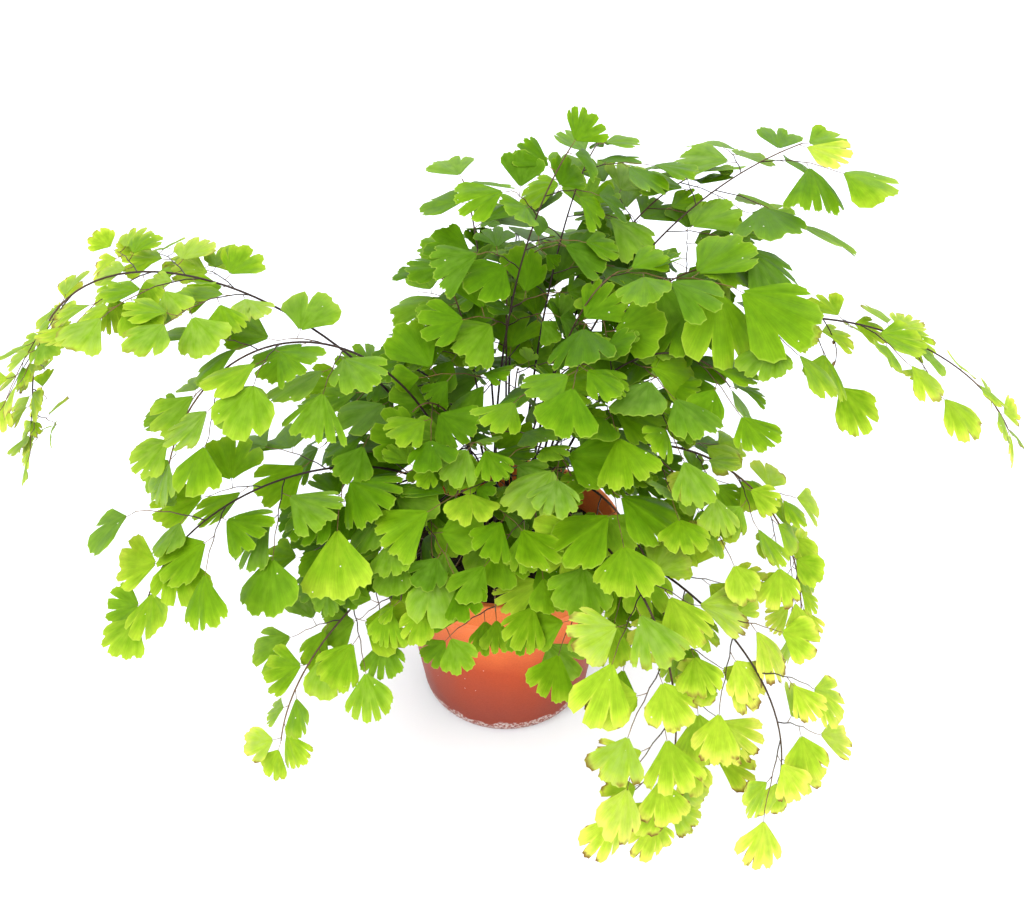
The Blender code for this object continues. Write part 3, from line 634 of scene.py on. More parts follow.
def settled_crozier(space, crozier):
    """A rolled-up young frond's stem, turned round the crown until it stands free."""
    for turn in range(0, 360, CROZIER_TURN):
        stem = crozier_path(crozier, crozier.azimuth + turn)
        if space.is_free(*crozier_solid(stem, CLEARANCE), ()):
            break
    space.add(*crozier_solid(stem, 0), crozier.name)
    return stem


# ---- Meshes ----
class Pile:
    """Closed shells that go into one mesh, with the values that the materials read at each vertex."""

    def __init__(self):
        self.verts = []
        self.faces = []
        self.slots = []
        self.blade = []
        self.looks = []
        self.under = []

    def add(self, verts, faces, slot, blade, looks, under):
        """Add a shell. blade, looks and under have a row for each vertex."""
        start = sum(len(v) for v in self.verts)
        self.verts.append(np.asarray(verts, float))
        self.faces += [tuple(start + k for k in face) for face in faces]
        self.slots += [slot] * len(faces)
        self.blade.append(np.asarray(blade, float))
        self.looks.append(np.asarray(looks, float))
        self.under.append(np.asarray(under, float))

    def make(self, name, materials, crease):
        """The piece: one smooth-shaded mesh object with its materials, riding on the plant."""
        mesh = bpy.data.meshes.new(name)
        mesh.from_pydata(np.vstack(self.verts).tolist(), [], self.faces)
        mesh.polygons.foreach_set("material_index", self.slots)
        for kind, label, rows in (
            ("FLOAT_VECTOR", "blade", self.blade),
            ("FLOAT_VECTOR", "looks", self.looks),
            ("FLOAT", "under", self.under),
        ):
            made = mesh.attributes.new(label, kind, "POINT")
            field = "vector" if kind == "FLOAT_VECTOR" else "value"
            made.data.foreach_set(field, np.concatenate(rows).astype(np.float32).ravel())
        mesh.shade_smooth()
        mesh.set_sharp_from_angle(angle=crease)
        for finish in materials:
            mesh.materials.append(finish)
        piece = bpy.data.objects.new(name, mesh)
        bpy.context.scene.collection.objects.link(piece)
        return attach(piece, "root")


def add_tube(pile, points, radii, sides, slot, looks, flat=1.0):
    """Add a closed tube along points, with a radius at each.

    looks has the tube's own tint and its shades at the first point and the last. The tube is
    flattened by "flat" in one direction.
    """
    tint, first_shade, last_shade = looks
    frames = []
    before = None
    for k, point in enumerate(points):
        tangent = (points[min(k + 1, len(points) - 1)] - points[max(k - 1, 0)]).normalized()
        side = before if before else tangent.orthogonal()
        side = (side - tangent * side.dot(tangent)).normalized()
        before = side
        frames.append((point, side, tangent.cross(side) * flat))
    verts = []
    for (point, side, other), radius in zip(frames, radii):
        for i in range(sides):
            angle = math.tau * i / sides
            verts.append(point + side * (radius * math.cos(angle)) + other * (radius * math.sin(angle)))
    faces = [tuple(reversed(range(sides))), tuple(range(len(verts) - sides, len(verts)))]
    for first in range(0, len(verts) - sides, sides):
        for i in range(sides):
            j = (i + 1) % sides
            faces.append((first + i, first + j, first + sides + j, first + sides + i))
    shares = np.repeat(np.linspace(0, 1, len(points)), sides)
    turns = np.tile(np.arange(sides) / sides, len(points))
    tints = np.full(len(verts), tint)
    shades = first_shade + (last_shade - first_shade) * shares
    blade = np.column_stack((turns, shares, tints))
    pile.add(verts, faces, slot, blade, np.column_stack((tints, shades, shares)), np.zeros(len(verts)))


# ---- Leaflets ----
def lobed_margin(age, chance):
    """Places across a fan, from -1 to 1, and how far out its margin reaches at each, as a share."""
    deep_share = DEEP_SHARE + DEEP_WITH_AGE * age
    count = chance.choice(LOBES)
    widths = [chance.uniform(*LOBE_WIDTHS) for _ in range(count)]
    total = sum(widths)
    notches = [SIDE_ROUNDING]
    for _ in range(count - 1):
        deep = chance.random() < deep_share
        notches.append(chance.uniform(*(DEEP_NOTCH if deep else SHALLOW_NOTCH)))
    notches.append(SIDE_ROUNDING)
    places = []
    reaches = []
    low = -1.0
    for k, width in enumerate(widths):
        half = width / total
        for i, step in enumerate(LOBE_STEPS):
            depth = notches[k] if step < 0 else notches[k + 1]
            power = NOTCH_POWER if depth > SHALLOW_NOTCH[1] else LOBE_POWER
            places.append(low + half * (1 + step))
            tooth = TOOTH * (-1) ** i * chance.uniform(*TOOTH_VARIES)
            reaches.append((1 - depth * abs(step) ** power) * (1 + tooth))
        low += 2 * half
    places.append(1.0)
    reaches.append(1 - SIDE_ROUNDING)
    return np.array(places), np.array(reaches)


def fan_faces(columns, rows):
    """The faces of a closed two-sided sheet on a grid: its top, its underside and its edge."""
    under = columns * rows
    faces = []
    for row in range(rows - 1):
        for column in range(columns - 1):
            a = row * columns + column
            top = (a, a + columns, a + columns + 1, a + 1)
            faces.append(top)
            faces.append(tuple(under + k for k in reversed(top)))
    loop = [row * columns for row in range(rows)]
    loop += [(rows - 1) * columns + column for column in range(1, columns)]
    loop += [row * columns + columns - 1 for row in reversed(range(rows - 1))]
    loop += list(reversed(range(1, columns - 1)))
    for a, b in zip(loop, loop[1:] + loop[:1]):
        faces.append((b, a, under + a, under + b))
    return faces


def add_leaflet(pile, leaf, age, chance):
    """Add one fan-shaped leaflet: lobed, finely toothed, thin and gently cupped."""
    places, reaches = lobed_margin(age, chance)
    half = math.radians(chance.uniform(*FAN_HALF_ANGLE))
    length = leaf.length * LEAF_GROWTH
    side = min(leaf.width * LEAF_GROWTH / (2 * math.sin(half)), length)
    lopsided = side * (1 + chance.uniform(-LOPSIDED, LOPSIDED) * np.sign(places))
    outer = (length - (length - lopsided) * np.abs(places) ** SIDE_CURVE) * reaches
    angles = places * half
    shares = np.array(FAN_ROWS)[:, None]
    radius = shares * outer[None, :]
    along = radius * np.cos(angles)
    across = radius * np.sin(angles)
    reach = radius / length
    droop = chance.gauss(*DROOP)
    cup = chance.uniform(*CUP)
    twist = chance.uniform(-TWIST, TWIST)
    phase = chance.uniform(0, math.tau)
    ripple = RIPPLE * np.sin(angles * len(places) / len(LOBE_STEPS) * RIPPLES + phase) * reach**2
    bend = cup * (across / length) ** 2 - droop * reach**2 + twist * reach * across / length
    height = length * (bend + ripple)
    base = leaf.root + leaf.axis * LEAF_STALK
    axes = np.array([leaf.axis, leaf.normal.cross(leaf.axis), leaf.normal])
    flat = np.stack((along, across, height), axis=-1).reshape(-1, 3) @ axes + np.array(base)
    thickness = (LEAF_SHEET * (1 - SHEET_THINNING * np.broadcast_to(shares, radius.shape))).reshape(-1, 1)
    lift = np.array(leaf.normal)[None, :] * thickness / 2
    columns, rows = len(places), len(FAN_ROWS)
    count = columns * rows
    ident = chance.random()
    blade = np.column_stack((np.tile(angles, rows), reach.ravel(), np.full(count, ident)))
    margin = np.broadcast_to(shares, radius.shape).ravel()
    looks = np.column_stack((np.full(count, chance.random()), np.full(count, age), margin))
    under = np.repeat((0.0, 1.0), count)
    verts = np.vstack((flat + lift, flat - lift))
    pile.add(verts, fan_faces(columns, rows), 1, np.tile(blade, (2, 1)), np.tile(looks, (2, 1)), under)


def age_at(place, frond_age, chance):
    """How yellow a leaflet is: more so on older fronds, at outer tips and on some single ones."""
    outward = min(Vector((place.x, place.y)).length / AGE_REACH, 1.0)
    sunny = max(0.0, place.dot(SUNNY_SIDE) / AGE_REACH)
    low = max(0.0, 1 - place.z / RHIZOME_TOP)
    age = frond_age + OUTER_AGE * outward**2 + SUNNY_AGE * sunny + LOW_AGE * low
    age += chance.gauss(0, AGE_SPREAD)
    if chance.random() < YELLOWED_SHARE:
        age += chance.uniform(*YELLOWED_AGE)
    return min(max(age, 0.0), OLDEST_AGE)


def add_carried(pile, carried, frond_age, chance):
    """Add a leaflet on its hair-thin stalk, or a side stalk with all of its own."""
    if carried is None:
        return
    if isinstance(carried, Leaf):
        age = age_at(carried.root, frond_age, chance)
        inside = carried.root + carried.axis * (LEAF_STALK + carried.length * PETIOLE_OVERLAP)
        middle = carried.root.lerp(inside, 0.5) - UP * (LEAF_STALK * PETIOLE_SAG)
        radii = [PETIOLE_RADIUS * share for share in PETIOLE_TAPER]
        add_tube(pile, [carried.root, middle, inside], radii, 5, 0, (chance.random(), *PETIOLE_SHADES))
        add_leaflet(pile, carried, age, chance)
        return
    stem = carried.stem
    kinked = []
    for k, point in enumerate(stem.points):
        sway = TWIG_KINK * (-1) ** k if 0 < k < len(stem.points) - 1 else 0
        kinked.append(point + stem.side * sway)
    radii = np.linspace(TWIG_RADIUS, TWIG_TIP_RADIUS, len(kinked))
    add_tube(pile, kinked, radii, 6, 0, (chance.random(), *TWIG_SHADES))
    for pair in carried.pairs:
        for grown in pair:
            add_carried(pile, grown, frond_age, chance)
    add_carried(pile, carried.end, frond_age, chance)


def add_withered(pile, stem, chance):
    """Add a dead side stalk that hangs in a slack curve, with shrivelled leaflets on it."""
    root, tangent, side = at(stem, stem.lengths[-1] * WITHERED_PLACE)
    points = []
    for share in np.linspace(0, 1, WITHERED_POINTS):
        bow = tangent * (math.sin(math.pi * share) * WITHERED_LENGTH * WITHERED_BOW)
        points.append(root + bow - (UP + side * WITHERED_LEAN) * (WITHERED_LENGTH * share))
    radii = np.linspace(TWIG_RADIUS, PETIOLE_RADIUS, WITHERED_POINTS)
    add_tube(pile, points, radii, 6, 0, (chance.random(), *WITHERED_SHADES))
    for point in points[2:-1:2]:
        hang = Vector((chance.uniform(-0.6, 0.6), chance.uniform(-0.6, 0.6), -1)).normalized()
        length = WITHERED_LENGTH * chance.uniform(*SHRIVELLED_LENGTH)
        girth = [PETIOLE_RADIUS, length / 3, length / 4, PETIOLE_RADIUS]
        curled = []
        for k in range(len(girth)):
            curled.append(point + hang * (length * k / 3) + side * chance.gauss(0, length / 5))
        add_tube(pile, curled, girth, 8, 0, (chance.random(), *SHRIVELLED_SHADES), SHRIVELLED_FLAT)


def make_frond(frond, growth, materials):
    """One frond as one piece: its wiry stalks and all of its leaflets."""
    chance = random.Random("look " + frond.name)
    pile = Pile()
    stem = growth.stem
    thinning = STALK_RADIUS - STALK_TIP_RADIUS
    radii = [STALK_RADIUS - thinning * (distance / stem.lengths[-1]) for distance in stem.lengths]
    add_tube(pile, stem.points, radii, 10, 0, (chance.random(), *STALK_SHADES))
    frond_age = FROND_AGES.get(frond.name, FROND_AGE)
    for pair in growth.pairs:
        for grown in pair:
            add_carried(pile, grown, frond_age, chance)
    add_carried(pile, growth.end, frond_age, chance)
    if frond.name == WITHERED_ON:
        add_withered(pile, stem, chance)
    piece = pile.make(frond.name + "_live", materials, math.radians(50))
    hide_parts(frond.name)
    return piece


# ---- Pot, soil and rhizome ----
def wall_radius(height):
    """Outer radius of the pot's tapered wall at a height, below the collar."""
    return BASE_RADIUS + (RIM_RADIUS - COLLAR_STEP - BASE_RADIUS) * height / POT_HEIGHT


def rounded(centre, radius, first, last, steps):
    """Points of an arc in the (radius, height) plane, from one angle in degrees to another."""
    points = []
    for i in range(steps + 1):
        angle = math.radians(first + (last - first) * i / steps)
        points.append((centre[0] + radius * math.cos(angle), centre[1] + radius * math.sin(angle)))
    return points


def turned(profile, sides):
    """A closed mesh turned about Z from (radius, height) points, with a flat cap at each end."""
    bm = bmesh.new()
    rings = []
    for radius, height in profile:
        angles = [math.tau * i / sides for i in range(sides)]
        places = [(radius * math.cos(a), radius * math.sin(a), height) for a in angles]
        rings.append([bm.verts.new(place) for place in places])
    for first, second in zip(rings, rings[1:]):
        for i in range(sides):
            j = (i + 1) % sides
            bm.faces.new((first[i], first[j], second[j], second[i]))
    bm.faces.new(rings[0])
    bm.faces.new(rings[-1])
    bmesh.ops.recalc_face_normals(bm, faces=bm.faces[:])
    return bm


def make_piece(name, bm, finish, node, crease=35):
    """A smooth-shaded piece from a mesh, standing for a CAD node."""
    mesh = bpy.data.meshes.new(name)
    bm.to_mesh(mesh)
    bm.free()
    mesh.shade_smooth()
    mesh.set_sharp_from_angle(angle=math.radians(crease))
    mesh.materials.append(finish)
    piece = bpy.data.objects.new(name, mesh)
    bpy.context.scene.collection.objects.link(piece)
    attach(piece, "root")
    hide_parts(node)
    return piece


def pot_profile():
    """The pot's section, from the middle of its underside up and over the rim to the inside floor."""
    collar_low = POT_HEIGHT - COLLAR_HEIGHT
    heel_out = wall_radius(HEEL_RADIUS) - HEEL_RADIUS
    inner = HEEL_RADIUS - POT_WALL
    heel_in = wall_radius(POT_FLOOR + inner) - POT_WALL - inner
    rim_in = RIM_RADIUS - COLLAR_STEP - POT_WALL
    profile = rounded((heel_out, HEEL_RADIUS), HEEL_RADIUS, -90, 0, 10)
    profile += [(wall_radius(z), z) for z in np.linspace(HEEL_RADIUS, collar_low, 12)[1:-1]]
    profile += [(wall_radius(collar_low), collar_low - CORNER)]
    profile += rounded((wall_radius(collar_low), collar_low + COLLAR_STEP), COLLAR_STEP, -80, 0, 4)
    ridge = collar_low + COLLAR_HEIGHT * RIDGE_PLACE
    radius = wall_radius(ridge) + COLLAR_STEP
    profile += [(radius, ridge - RIDGE), (radius + RIDGE / 2, ridge), (radius, ridge + RIDGE)]
    profile += rounded((RIM_RADIUS - LIP, POT_HEIGHT - LIP), LIP, 0, 90, 5)
    profile += rounded((rim_in + LIP, POT_HEIGHT - LIP), LIP, 90, 180, 5)
    profile += [(rim_in - POT_WALL / 6, collar_low), (rim_in - POT_WALL * 2 / 3, collar_low - 0.001)]
    profile += rounded((heel_in, POT_FLOOR + inner), inner, 0, -90, 8)
    return profile


def make_pot(finish):
    """The pot: a thin plastic shell with a collar, a rounded lip and drain holes."""
    piece = make_piece("pot_shell", turned(pot_profile(), POT_SIDES), finish, "pot")
    pins = bmesh.new()
    for i in range(DRAIN_HOLES):
        place = Matrix.Rotation(math.tau * (i + 0.5) / DRAIN_HOLES, 4, "Z")
        place @= Matrix.Translation((DRAIN_RING, 0, POT_FLOOR / 2))
        bmesh.ops.create_cone(
            pins,
            cap_ends=True,
            segments=24,
            radius1=DRAIN_RADIUS,
            radius2=DRAIN_RADIUS,
            depth=3 * POT_FLOOR,
            matrix=place,
        )
    pins_mesh = bpy.data.meshes.new("drain_pins")
    pins.to_mesh(pins_mesh)
    pins.free()
    pins_object = bpy.data.objects.new("drain_pins", pins_mesh)
    bpy.context.scene.collection.objects.link(pins_object)
    cut = piece.modifiers.new("drain_holes", "BOOLEAN")
    cut.object = pins_object
    cut.solver = "EXACT"
    bpy.context.view_layer.update()
    graph = bpy.context.evaluated_depsgraph_get()
    cut_mesh = bpy.data.meshes.new_from_object(piece.evaluated_get(graph))
    piece.modifiers.remove(cut)
    piece.data = cut_mesh
    bpy.data.objects.remove(pins_object)
    return piece


def soil_height(radius):
    """Height of the soil's domed top at a distance from its middle."""
    return SOIL_TOP - SOIL_DOME * (radius / RIM_RADIUS) ** 2


def rough(place, scale, size):
    """A bumpy offset at a place, up to about "size"."""
    return noise.fractal(Vector(place) * scale, 0.7, 2.1, 4) * size


def make_soil(finish):
    """The peat: a lumpy top that meets the pot's wall, on a plain body that fills the pot."""
    edge = wall_radius(SOIL_TOP) - POT_WALL - SOIL_GAP
    inner = HEEL_RADIUS - POT_WALL
    clear = POT_WALL + SOIL_GAP
    heel = (wall_radius(HEEL_RADIUS) - clear - inner, POT_FLOOR + SOIL_GAP + inner)
    body = rounded(heel, inner, -90, 0, 6)
    top = [(r, soil_height(r)) for r in np.linspace(edge, SOIL_CENTRE, SOIL_RINGS)]
    bm = turned(body + top, POT_SIDES)
    for vert in bm.verts:
        radius = math.hypot(vert.co.x, vert.co.y)
        if vert.co.z > POT_HEIGHT / 2 and radius < edge - SOIL_GAP:
            vert.co.z += rough(vert.co, 260, SOIL_LUMP) + rough(vert.co, 900, SOIL_LUMP / 3)
    make_piece("peat", bm, finish, "potting_soil", 80)


def make_crumbs(finish):
    """Loose crumbs of peat on the soil, most of them out by the pot's wall."""
    chance = random.Random("crumbs")
    bm = bmesh.new()
    for _ in range(CRUMBS):
        radius = math.sqrt(chance.uniform(RHIZOME_RADIUS**2, (RIM_RADIUS - CRUMB_EDGE) ** 2))
        azimuth = math.degrees(chance.uniform(0, math.tau))
        size = chance.uniform(*CRUMB_SIZE)
        place = polar(azimuth, radius, soil_height(radius) + size * 0.4)
        turn = Euler([chance.uniform(0, math.tau) for _ in range(3)]).to_matrix().to_4x4()
        width = size * chance.uniform(0.5, 0.9)
        shape = Matrix.Diagonal((size, width, size * chance.uniform(0.4, 0.8), 1))
        matrix = Matrix.Translation(place) @ turn @ shape
        made = bmesh.ops.create_icosphere(bm, subdivisions=1, radius=1, matrix=matrix)
        for vert in made["verts"]:
            vert.co += (vert.co - place) * rough(vert.co, 900, 0.35)
    make_piece("peat_crumbs", bm, finish, "potting_soil", 80)


def make_stuck_fibres(finish):
    """Short dark fibres of peat that stick to the outside of the pot."""
    chance = random.Random("fibres")
    pile = Pile()
    for azimuth, height in FIBRES:
        radius = wall_radius(height) + FIBRE_GAP
        points = []
        for share in np.linspace(0, 1, len(FIBRE_RADII)):
            drop = chance.gauss(0, FIBRE_LENGTH / 10)
            turn = math.degrees(FIBRE_LENGTH * share / radius)
            points.append(polar(azimuth + turn, radius, height + drop))
        add_tube(pile, points, FIBRE_RADII, 6, 0, (chance.random(), 0, 1))
    piece = pile.make("stuck_fibres", [finish], math.radians(60))
    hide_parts("potting_soil")


def make_rhizome(finish):
    """The rhizome: a lumpy crown covered in small brown scales."""
    low = soil_height(0) - 2 * SOIL_DOME
    profile = [(RHIZOME_RADIUS * 0.85, low), (RHIZOME_RADIUS, soil_height(0) - SOIL_DOME / 2)]
    profile += [(r, rhizome_top(r)) for r in RHIZOME_RADIUS * np.linspace(0.97, 0.04, 14)]
    bm = turned(profile, 72)
    for vert in bm.verts:
        if vert.co.z > low + SOIL_DOME:
            vert.co.z += rough(vert.co, 300, RHIZOME_LUMP)
    make_piece("rhizome_crown", bm, finish, "rhizome", 80)
    chance = random.Random("scales")
    pile = Pile()
    for _ in range(SCALES):
        radius = RHIZOME_RADIUS * math.sqrt(chance.random())
        azimuth = chance.uniform(0, 360)
        foot = polar(azimuth, radius, rhizome_top(radius) - 0.0006)
        lean = polar(azimuth + chance.uniform(-50, 50), chance.uniform(0.2, 1.0), 1.0).normalized()
        length = chance.uniform(*SCALE_LENGTH)
        points = [foot, foot + lean * (length / 2), foot + lean * length - UP * (length * 0.12)]
        add_tube(pile, points, SCALE_RADII, 6, 0, (chance.random(), 0.3, 1.0), 0.35)
    scales = pile.make("rhizome_scales", [finish], math.radians(60))
    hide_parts("rhizome")


def make_crozier(crozier, stem, materials):
    """A rolled-up young frond: a hairy stalk that ends in a tight coil of tiny buds."""
    chance = random.Random(crozier.name)
    pile = Pile()
    count = len(stem.points)
    radii = [CROZIER_WIDTH / 2 * (1 - 0.6 * k / count) for k in range(count)]
    add_tube(pile, stem.points, radii, 12, 0, (chance.random(), 0.0, 1.0))
    for point, radius in list(zip(stem.points, radii))[3:]:
        for hand in (-1, 1):
            place = point + stem.side * (hand * radius)
            tip = place + stem.side * (hand * radius * 1.6)
            ends = (radius * 0.9, radius * 0.35)
            add_tube(pile, [place, tip], ends, 6, 0, (chance.random(), 0.8, 1.0))
    piece = pile.make(crozier.name + "_live", materials, math.radians(60))
    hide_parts(crozier.name)


# ---- Materials ----
class Paint:
    """A material's node tree, with short ways to add nodes. A value given as a socket is linked."""

    def __init__(self, name):
        self.material = bpy.data.materials.new(name)
        self.material.use_nodes = True
        self.tree = self.material.node_tree
        self.shader = self.tree.nodes["Principled BSDF"]
        self.output = self.tree.nodes["Material Output"]

    def put(self, socket, value):
        """Set a socket to a value, or link it."""
        if isinstance(value, bpy.types.NodeSocket):
            self.tree.links.new(value, socket)
        else:
            socket.default_value = value

    def add(self, kind, values, **settings):
        """A node with its settings, and its inputs by name or number."""
        made = self.tree.nodes.new(kind)
        for name, value in settings.items():
            setattr(made, name, value)
        for key, value in values.items():
            self.put(made.inputs[key], value)
        return made

    def attribute(self, name):
        """The separate values of a vertex attribute."""
        read = self.add("ShaderNodeAttribute", {}, attribute_name=name)
        parts = self.add("ShaderNodeSeparateXYZ", {0: read.outputs["Vector"]})
        return parts.outputs[0], parts.outputs[1], parts.outputs[2]

    def place(self):
        """The place on the object, in metres."""
        return self.add("ShaderNodeTexCoord", {}).outputs["Object"]

    def vector(self, x, y, z):
        """Three values as one vector."""
        return self.add("ShaderNodeCombineXYZ", {0: x, 1: y, 2: z}).outputs[0]

    def math(self, operation, first, second=0.0, third=0.0):
        """One step of arithmetic."""
        values = {0: first, 1: second, 2: third}
        return self.add("ShaderNodeMath", values, operation=operation).outputs[0]

    def times(self, first, second):
        """Two values multiplied."""
        return self.math("MULTIPLY", first, second)

    def moved(self, value, mover, amount):
        """A value moved up or down by how far another one is from its middle, a half."""
        return self.math("MULTIPLY_ADD", self.math("SUBTRACT", mover, 0.5), amount, value)

    def noise(self, where, scale, detail=2.0):
        """A noise from 0 to 1."""
        values = {"Vector": where, "Scale": scale, "Detail": detail}
        return self.add("ShaderNodeTexNoise", values).outputs[0]

    def specks(self, where, scale, size, rarity):
        """1 on small round specks in some cells of a pattern, and 0 elsewhere."""
        cells = self.add("ShaderNodeTexVoronoi", {"Vector": where, "Scale": scale})
        chosen = self.add("ShaderNodeSeparateColor", {0: cells.outputs["Color"]}).outputs[0]
        small = self.math("LESS_THAN", cells.outputs["Distance"], size)
        return self.times(small, self.math("GREATER_THAN", chosen, rarity))

    def range(self, value, low, high, to_low=0.0, to_high=1.0):
        """The value moved from one range to another, and held there."""
        values = {0: value, 1: low, 2: high, 3: to_low, 4: to_high}
        return self.add("ShaderNodeMapRange", values, interpolation_type="SMOOTHSTEP").outputs[0]

    def mix(self, factor, first, second, blend="MIX"):
        """Two colours mixed."""
        made = self.add("ShaderNodeMix", {}, data_type="RGBA", blend_type=blend)
        self.put(made.inputs[0], factor)
        self.put(made.inputs[6], first)
        self.put(made.inputs[7], second)
        return made.outputs[2]

    def toned(self, colour, tone):
        """A colour made darker or lighter by a factor."""
        return self.mix(1.0, colour, self.vector(tone, tone, tone), "MULTIPLY")

    def ramp(self, factor, *stops):
        """A colour from a ramp of (place, colour) stops."""
        made = self.add("ShaderNodeValToRGB", {0: factor})
        elements = made.color_ramp.elements
        elements[0].position, elements[0].color = stops[0][0], (*stops[0][1], 1)
        elements[1].position, elements[1].color = stops[-1][0], (*stops[-1][1], 1)
        for place, colour in stops[1:-1]:
            elements.new(place).color = (*colour, 1)
        return made.outputs[0]

    def bump(self, height, strength, distance):
        """A bump in the shader's normal."""
        values = {"Height": height, "Strength": strength, "Distance": distance}
        self.put(self.shader.inputs["Normal"], self.add("ShaderNodeBump", values).outputs[0])

    def finish(self, colour, roughness, specular):
        """Give the shader its colour and roughness."""
        self.put(self.shader.inputs["Base Color"], colour)
        self.put(self.shader.inputs["Roughness"], roughness)
        self.shader.inputs["Specular IOR Level"].default_value = specular
        return self.material


def leaf_material():
    """Soft green leaf: radiating veins, a paler underside and edge, age, specks, a painted sheen on some
    leaflets and light through.
    """
    paint = Paint("leaf")
    angle, reach, ident = paint.attribute("blade")
    tint, age, margin = paint.attribute("looks")
    under = paint.add("ShaderNodeAttribute", {}, attribute_name="under").outputs["Fac"]
    where = paint.place()
    fan = paint.vector(paint.times(angle, 34.0), paint.times(reach, 1.6), ident)
    veins = paint.noise(fan, 1.6, 3.0)
    broad = paint.vector(paint.times(angle, 3.2), paint.times(reach, 2.2), ident)
    patches = paint.noise(broad, 1.4, 2.0)
    mottle = paint.noise(where, 420.0, 3.0)
    edge = paint.range(margin, 0.62, 1.0)
    ageing = paint.math("MULTIPLY_ADD", edge, paint.math("MULTIPLY_ADD", age, 0.34, 0.04), age)
    ageing = paint.moved(paint.moved(ageing, patches, 0.26), tint, 0.20)
    colour = paint.ramp(ageing, *LEAF_AGES)
    colour = paint.toned(colour, paint.range(veins, 0.38, 0.68, 0.93, 1.08))
    colour = paint.toned(colour, paint.range(mottle, 0.3, 0.7, 0.94, 1.06))
    # Painted sheen: some leaflets are mixed towards a pale grey-green that stands in for reflected light.
    painted_sheen = paint.times(paint.range(ident, 0.55, 1.0), paint.range(patches, 0.3, 0.7, 0.10, 0.45))
    painted_sheen = paint.times(painted_sheen, paint.range(age, 0.15, 0.45, 0.25, 1.2))
    colour = paint.mix(painted_sheen, colour, LEAF_PAINTED_SHEEN)
    colour = paint.mix(paint.times(paint.range(margin, 0.96, 1.0), 0.38), colour, LEAF_RIM)
    colour = paint.mix(paint.times(under, 0.40), colour, LEAF_UNDERSIDE)
    scorch = paint.times(paint.range(margin, 0.86, 1.0), paint.range(age, 0.40, 0.66))
    scorch = paint.times(scorch, paint.range(paint.noise(where, 150.0), 0.52, 0.62))
    colour = paint.mix(scorch, colour, LEAF_SCORCH)
    colour = paint.mix(paint.specks(where, 190.0, 0.055, 0.72), colour, LEAF_SPECK)
    paint.bump(paint.math("MULTIPLY_ADD", mottle, 0.35, veins), 0.35, 0.00018)
    paint.finish(colour, paint.range(patches, 0.2, 0.8, 0.42, 0.58), 0.28)
    paint.shader.inputs["Specular Tint"].default_value = LEAF_SHINE
    glow = paint.mix(1.0, colour, LEAF_GLOW, "MULTIPLY")
    through = paint.add("ShaderNodeBsdfTranslucent", {"Color": glow}).outputs[0]
    both = paint.add("ShaderNodeMixShader", {0: 0.34, 1: paint.shader.outputs[0], 2: through})
    paint.put(paint.output.inputs["Surface"], both.outputs[0])
    return paint.material


def stalk_material():
    """Wiry stalk: polished, near black at its foot and reddish brown towards its tips."""
    paint = Paint("stalk")
    tint, age, _ = paint.attribute("looks")
    streaks = paint.noise(paint.place(), 900.0, 3.0)
    shade = paint.moved(paint.moved(age, tint, 0.25), streaks, 0.3)
    paint.bump(streaks, 0.2, 0.0001)
    colour = paint.ramp(shade, *STALK_COLOURS)
    return paint.finish(colour, paint.range(streaks, 0.3, 0.7, 0.32, 0.48), 0.2)


def pot_material():
    """Terracotta-coloured plastic: painted shade makes it brighter above and darker towards its foot, with
    a mineral crust.
    """
    paint = Paint("pot_plastic")
    where = paint.place()
    height = paint.add("ShaderNodeSeparateXYZ", {0: where}).outputs[2]
    cloud = paint.noise(where, 34.0, 4.0)
    grain = paint.noise(where, 1500.0, 2.0)
    # Painted shade: the colour darkens from the lit top down to the pot's foot.
    shade_level = paint.range(paint.moved(height, cloud, 0.022), 0.0, POT_HEIGHT)
    colour = paint.ramp(shade_level, *POT_SHADE_LEVELS)
    colour = paint.toned(colour, paint.range(grain, 0.25, 0.75, 0.94, 1.06))
    specks = paint.specks(where, 230.0, 0.06, 0.8)
    colour = paint.mix(paint.times(specks, 0.55), colour, POT_SPECK)
    ragged = paint.math("MULTIPLY_ADD", paint.noise(where, 130.0, 6.0), CRUST_RAGGED, height)
    crust = paint.range(ragged, CRUST_HEIGHT, CRUST_HEIGHT + 0.0012, 1.0, 0.0)
    grit = paint.noise(where, 800.0, 3.0)
    crust = paint.times(crust, paint.range(grit, 0.40, 0.62, 0.10, 0.85))
    colour = paint.mix(crust, colour, POT_CRUST)
    above = paint.times(paint.range(ragged, CRUST_HEIGHT - 0.002, CRUST_HEIGHT), -1.0)
    dirt = paint.times(paint.math("ADD", above, 1.0), paint.range(grit, 0.34, 0.40, 0.8, 0.0))
    colour = paint.mix(dirt, colour, POT_DIRT)
    paint.bump(paint.math("MULTIPLY_ADD", crust, 0.8, grain), 0.25, 0.00025)
    rough_plastic = paint.range(cloud, 0.3, 0.7, 0.36, 0.50)
    return paint.finish(colour, paint.math("MULTIPLY_ADD", crust, 0.4, rough_plastic), 0.08)


def earth_material(name, dark, light, scale, roughness):
    """Peat or rootstock: fibres and crumbs between a dark and a lighter brown."""
    paint = Paint(name)
    where = paint.place()
    coarse = paint.noise(where, scale, 6.0)
    fine = paint.noise(where, scale * 6, 3.0)
    mixed = paint.math("MULTIPLY_ADD", fine, 0.5, paint.times(coarse, 0.7))
    middle = tuple(a + (b - a) * 0.25 for a, b in zip(dark, light))
    colour = paint.ramp(mixed, (0.42, dark), (0.62, middle), (0.82, light))
    paint.bump(paint.math("ADD", fine, coarse), 0.8, 0.0008)
    return paint.finish(colour, paint.range(coarse, 0.3, 0.7, roughness, 0.98), 0.25)


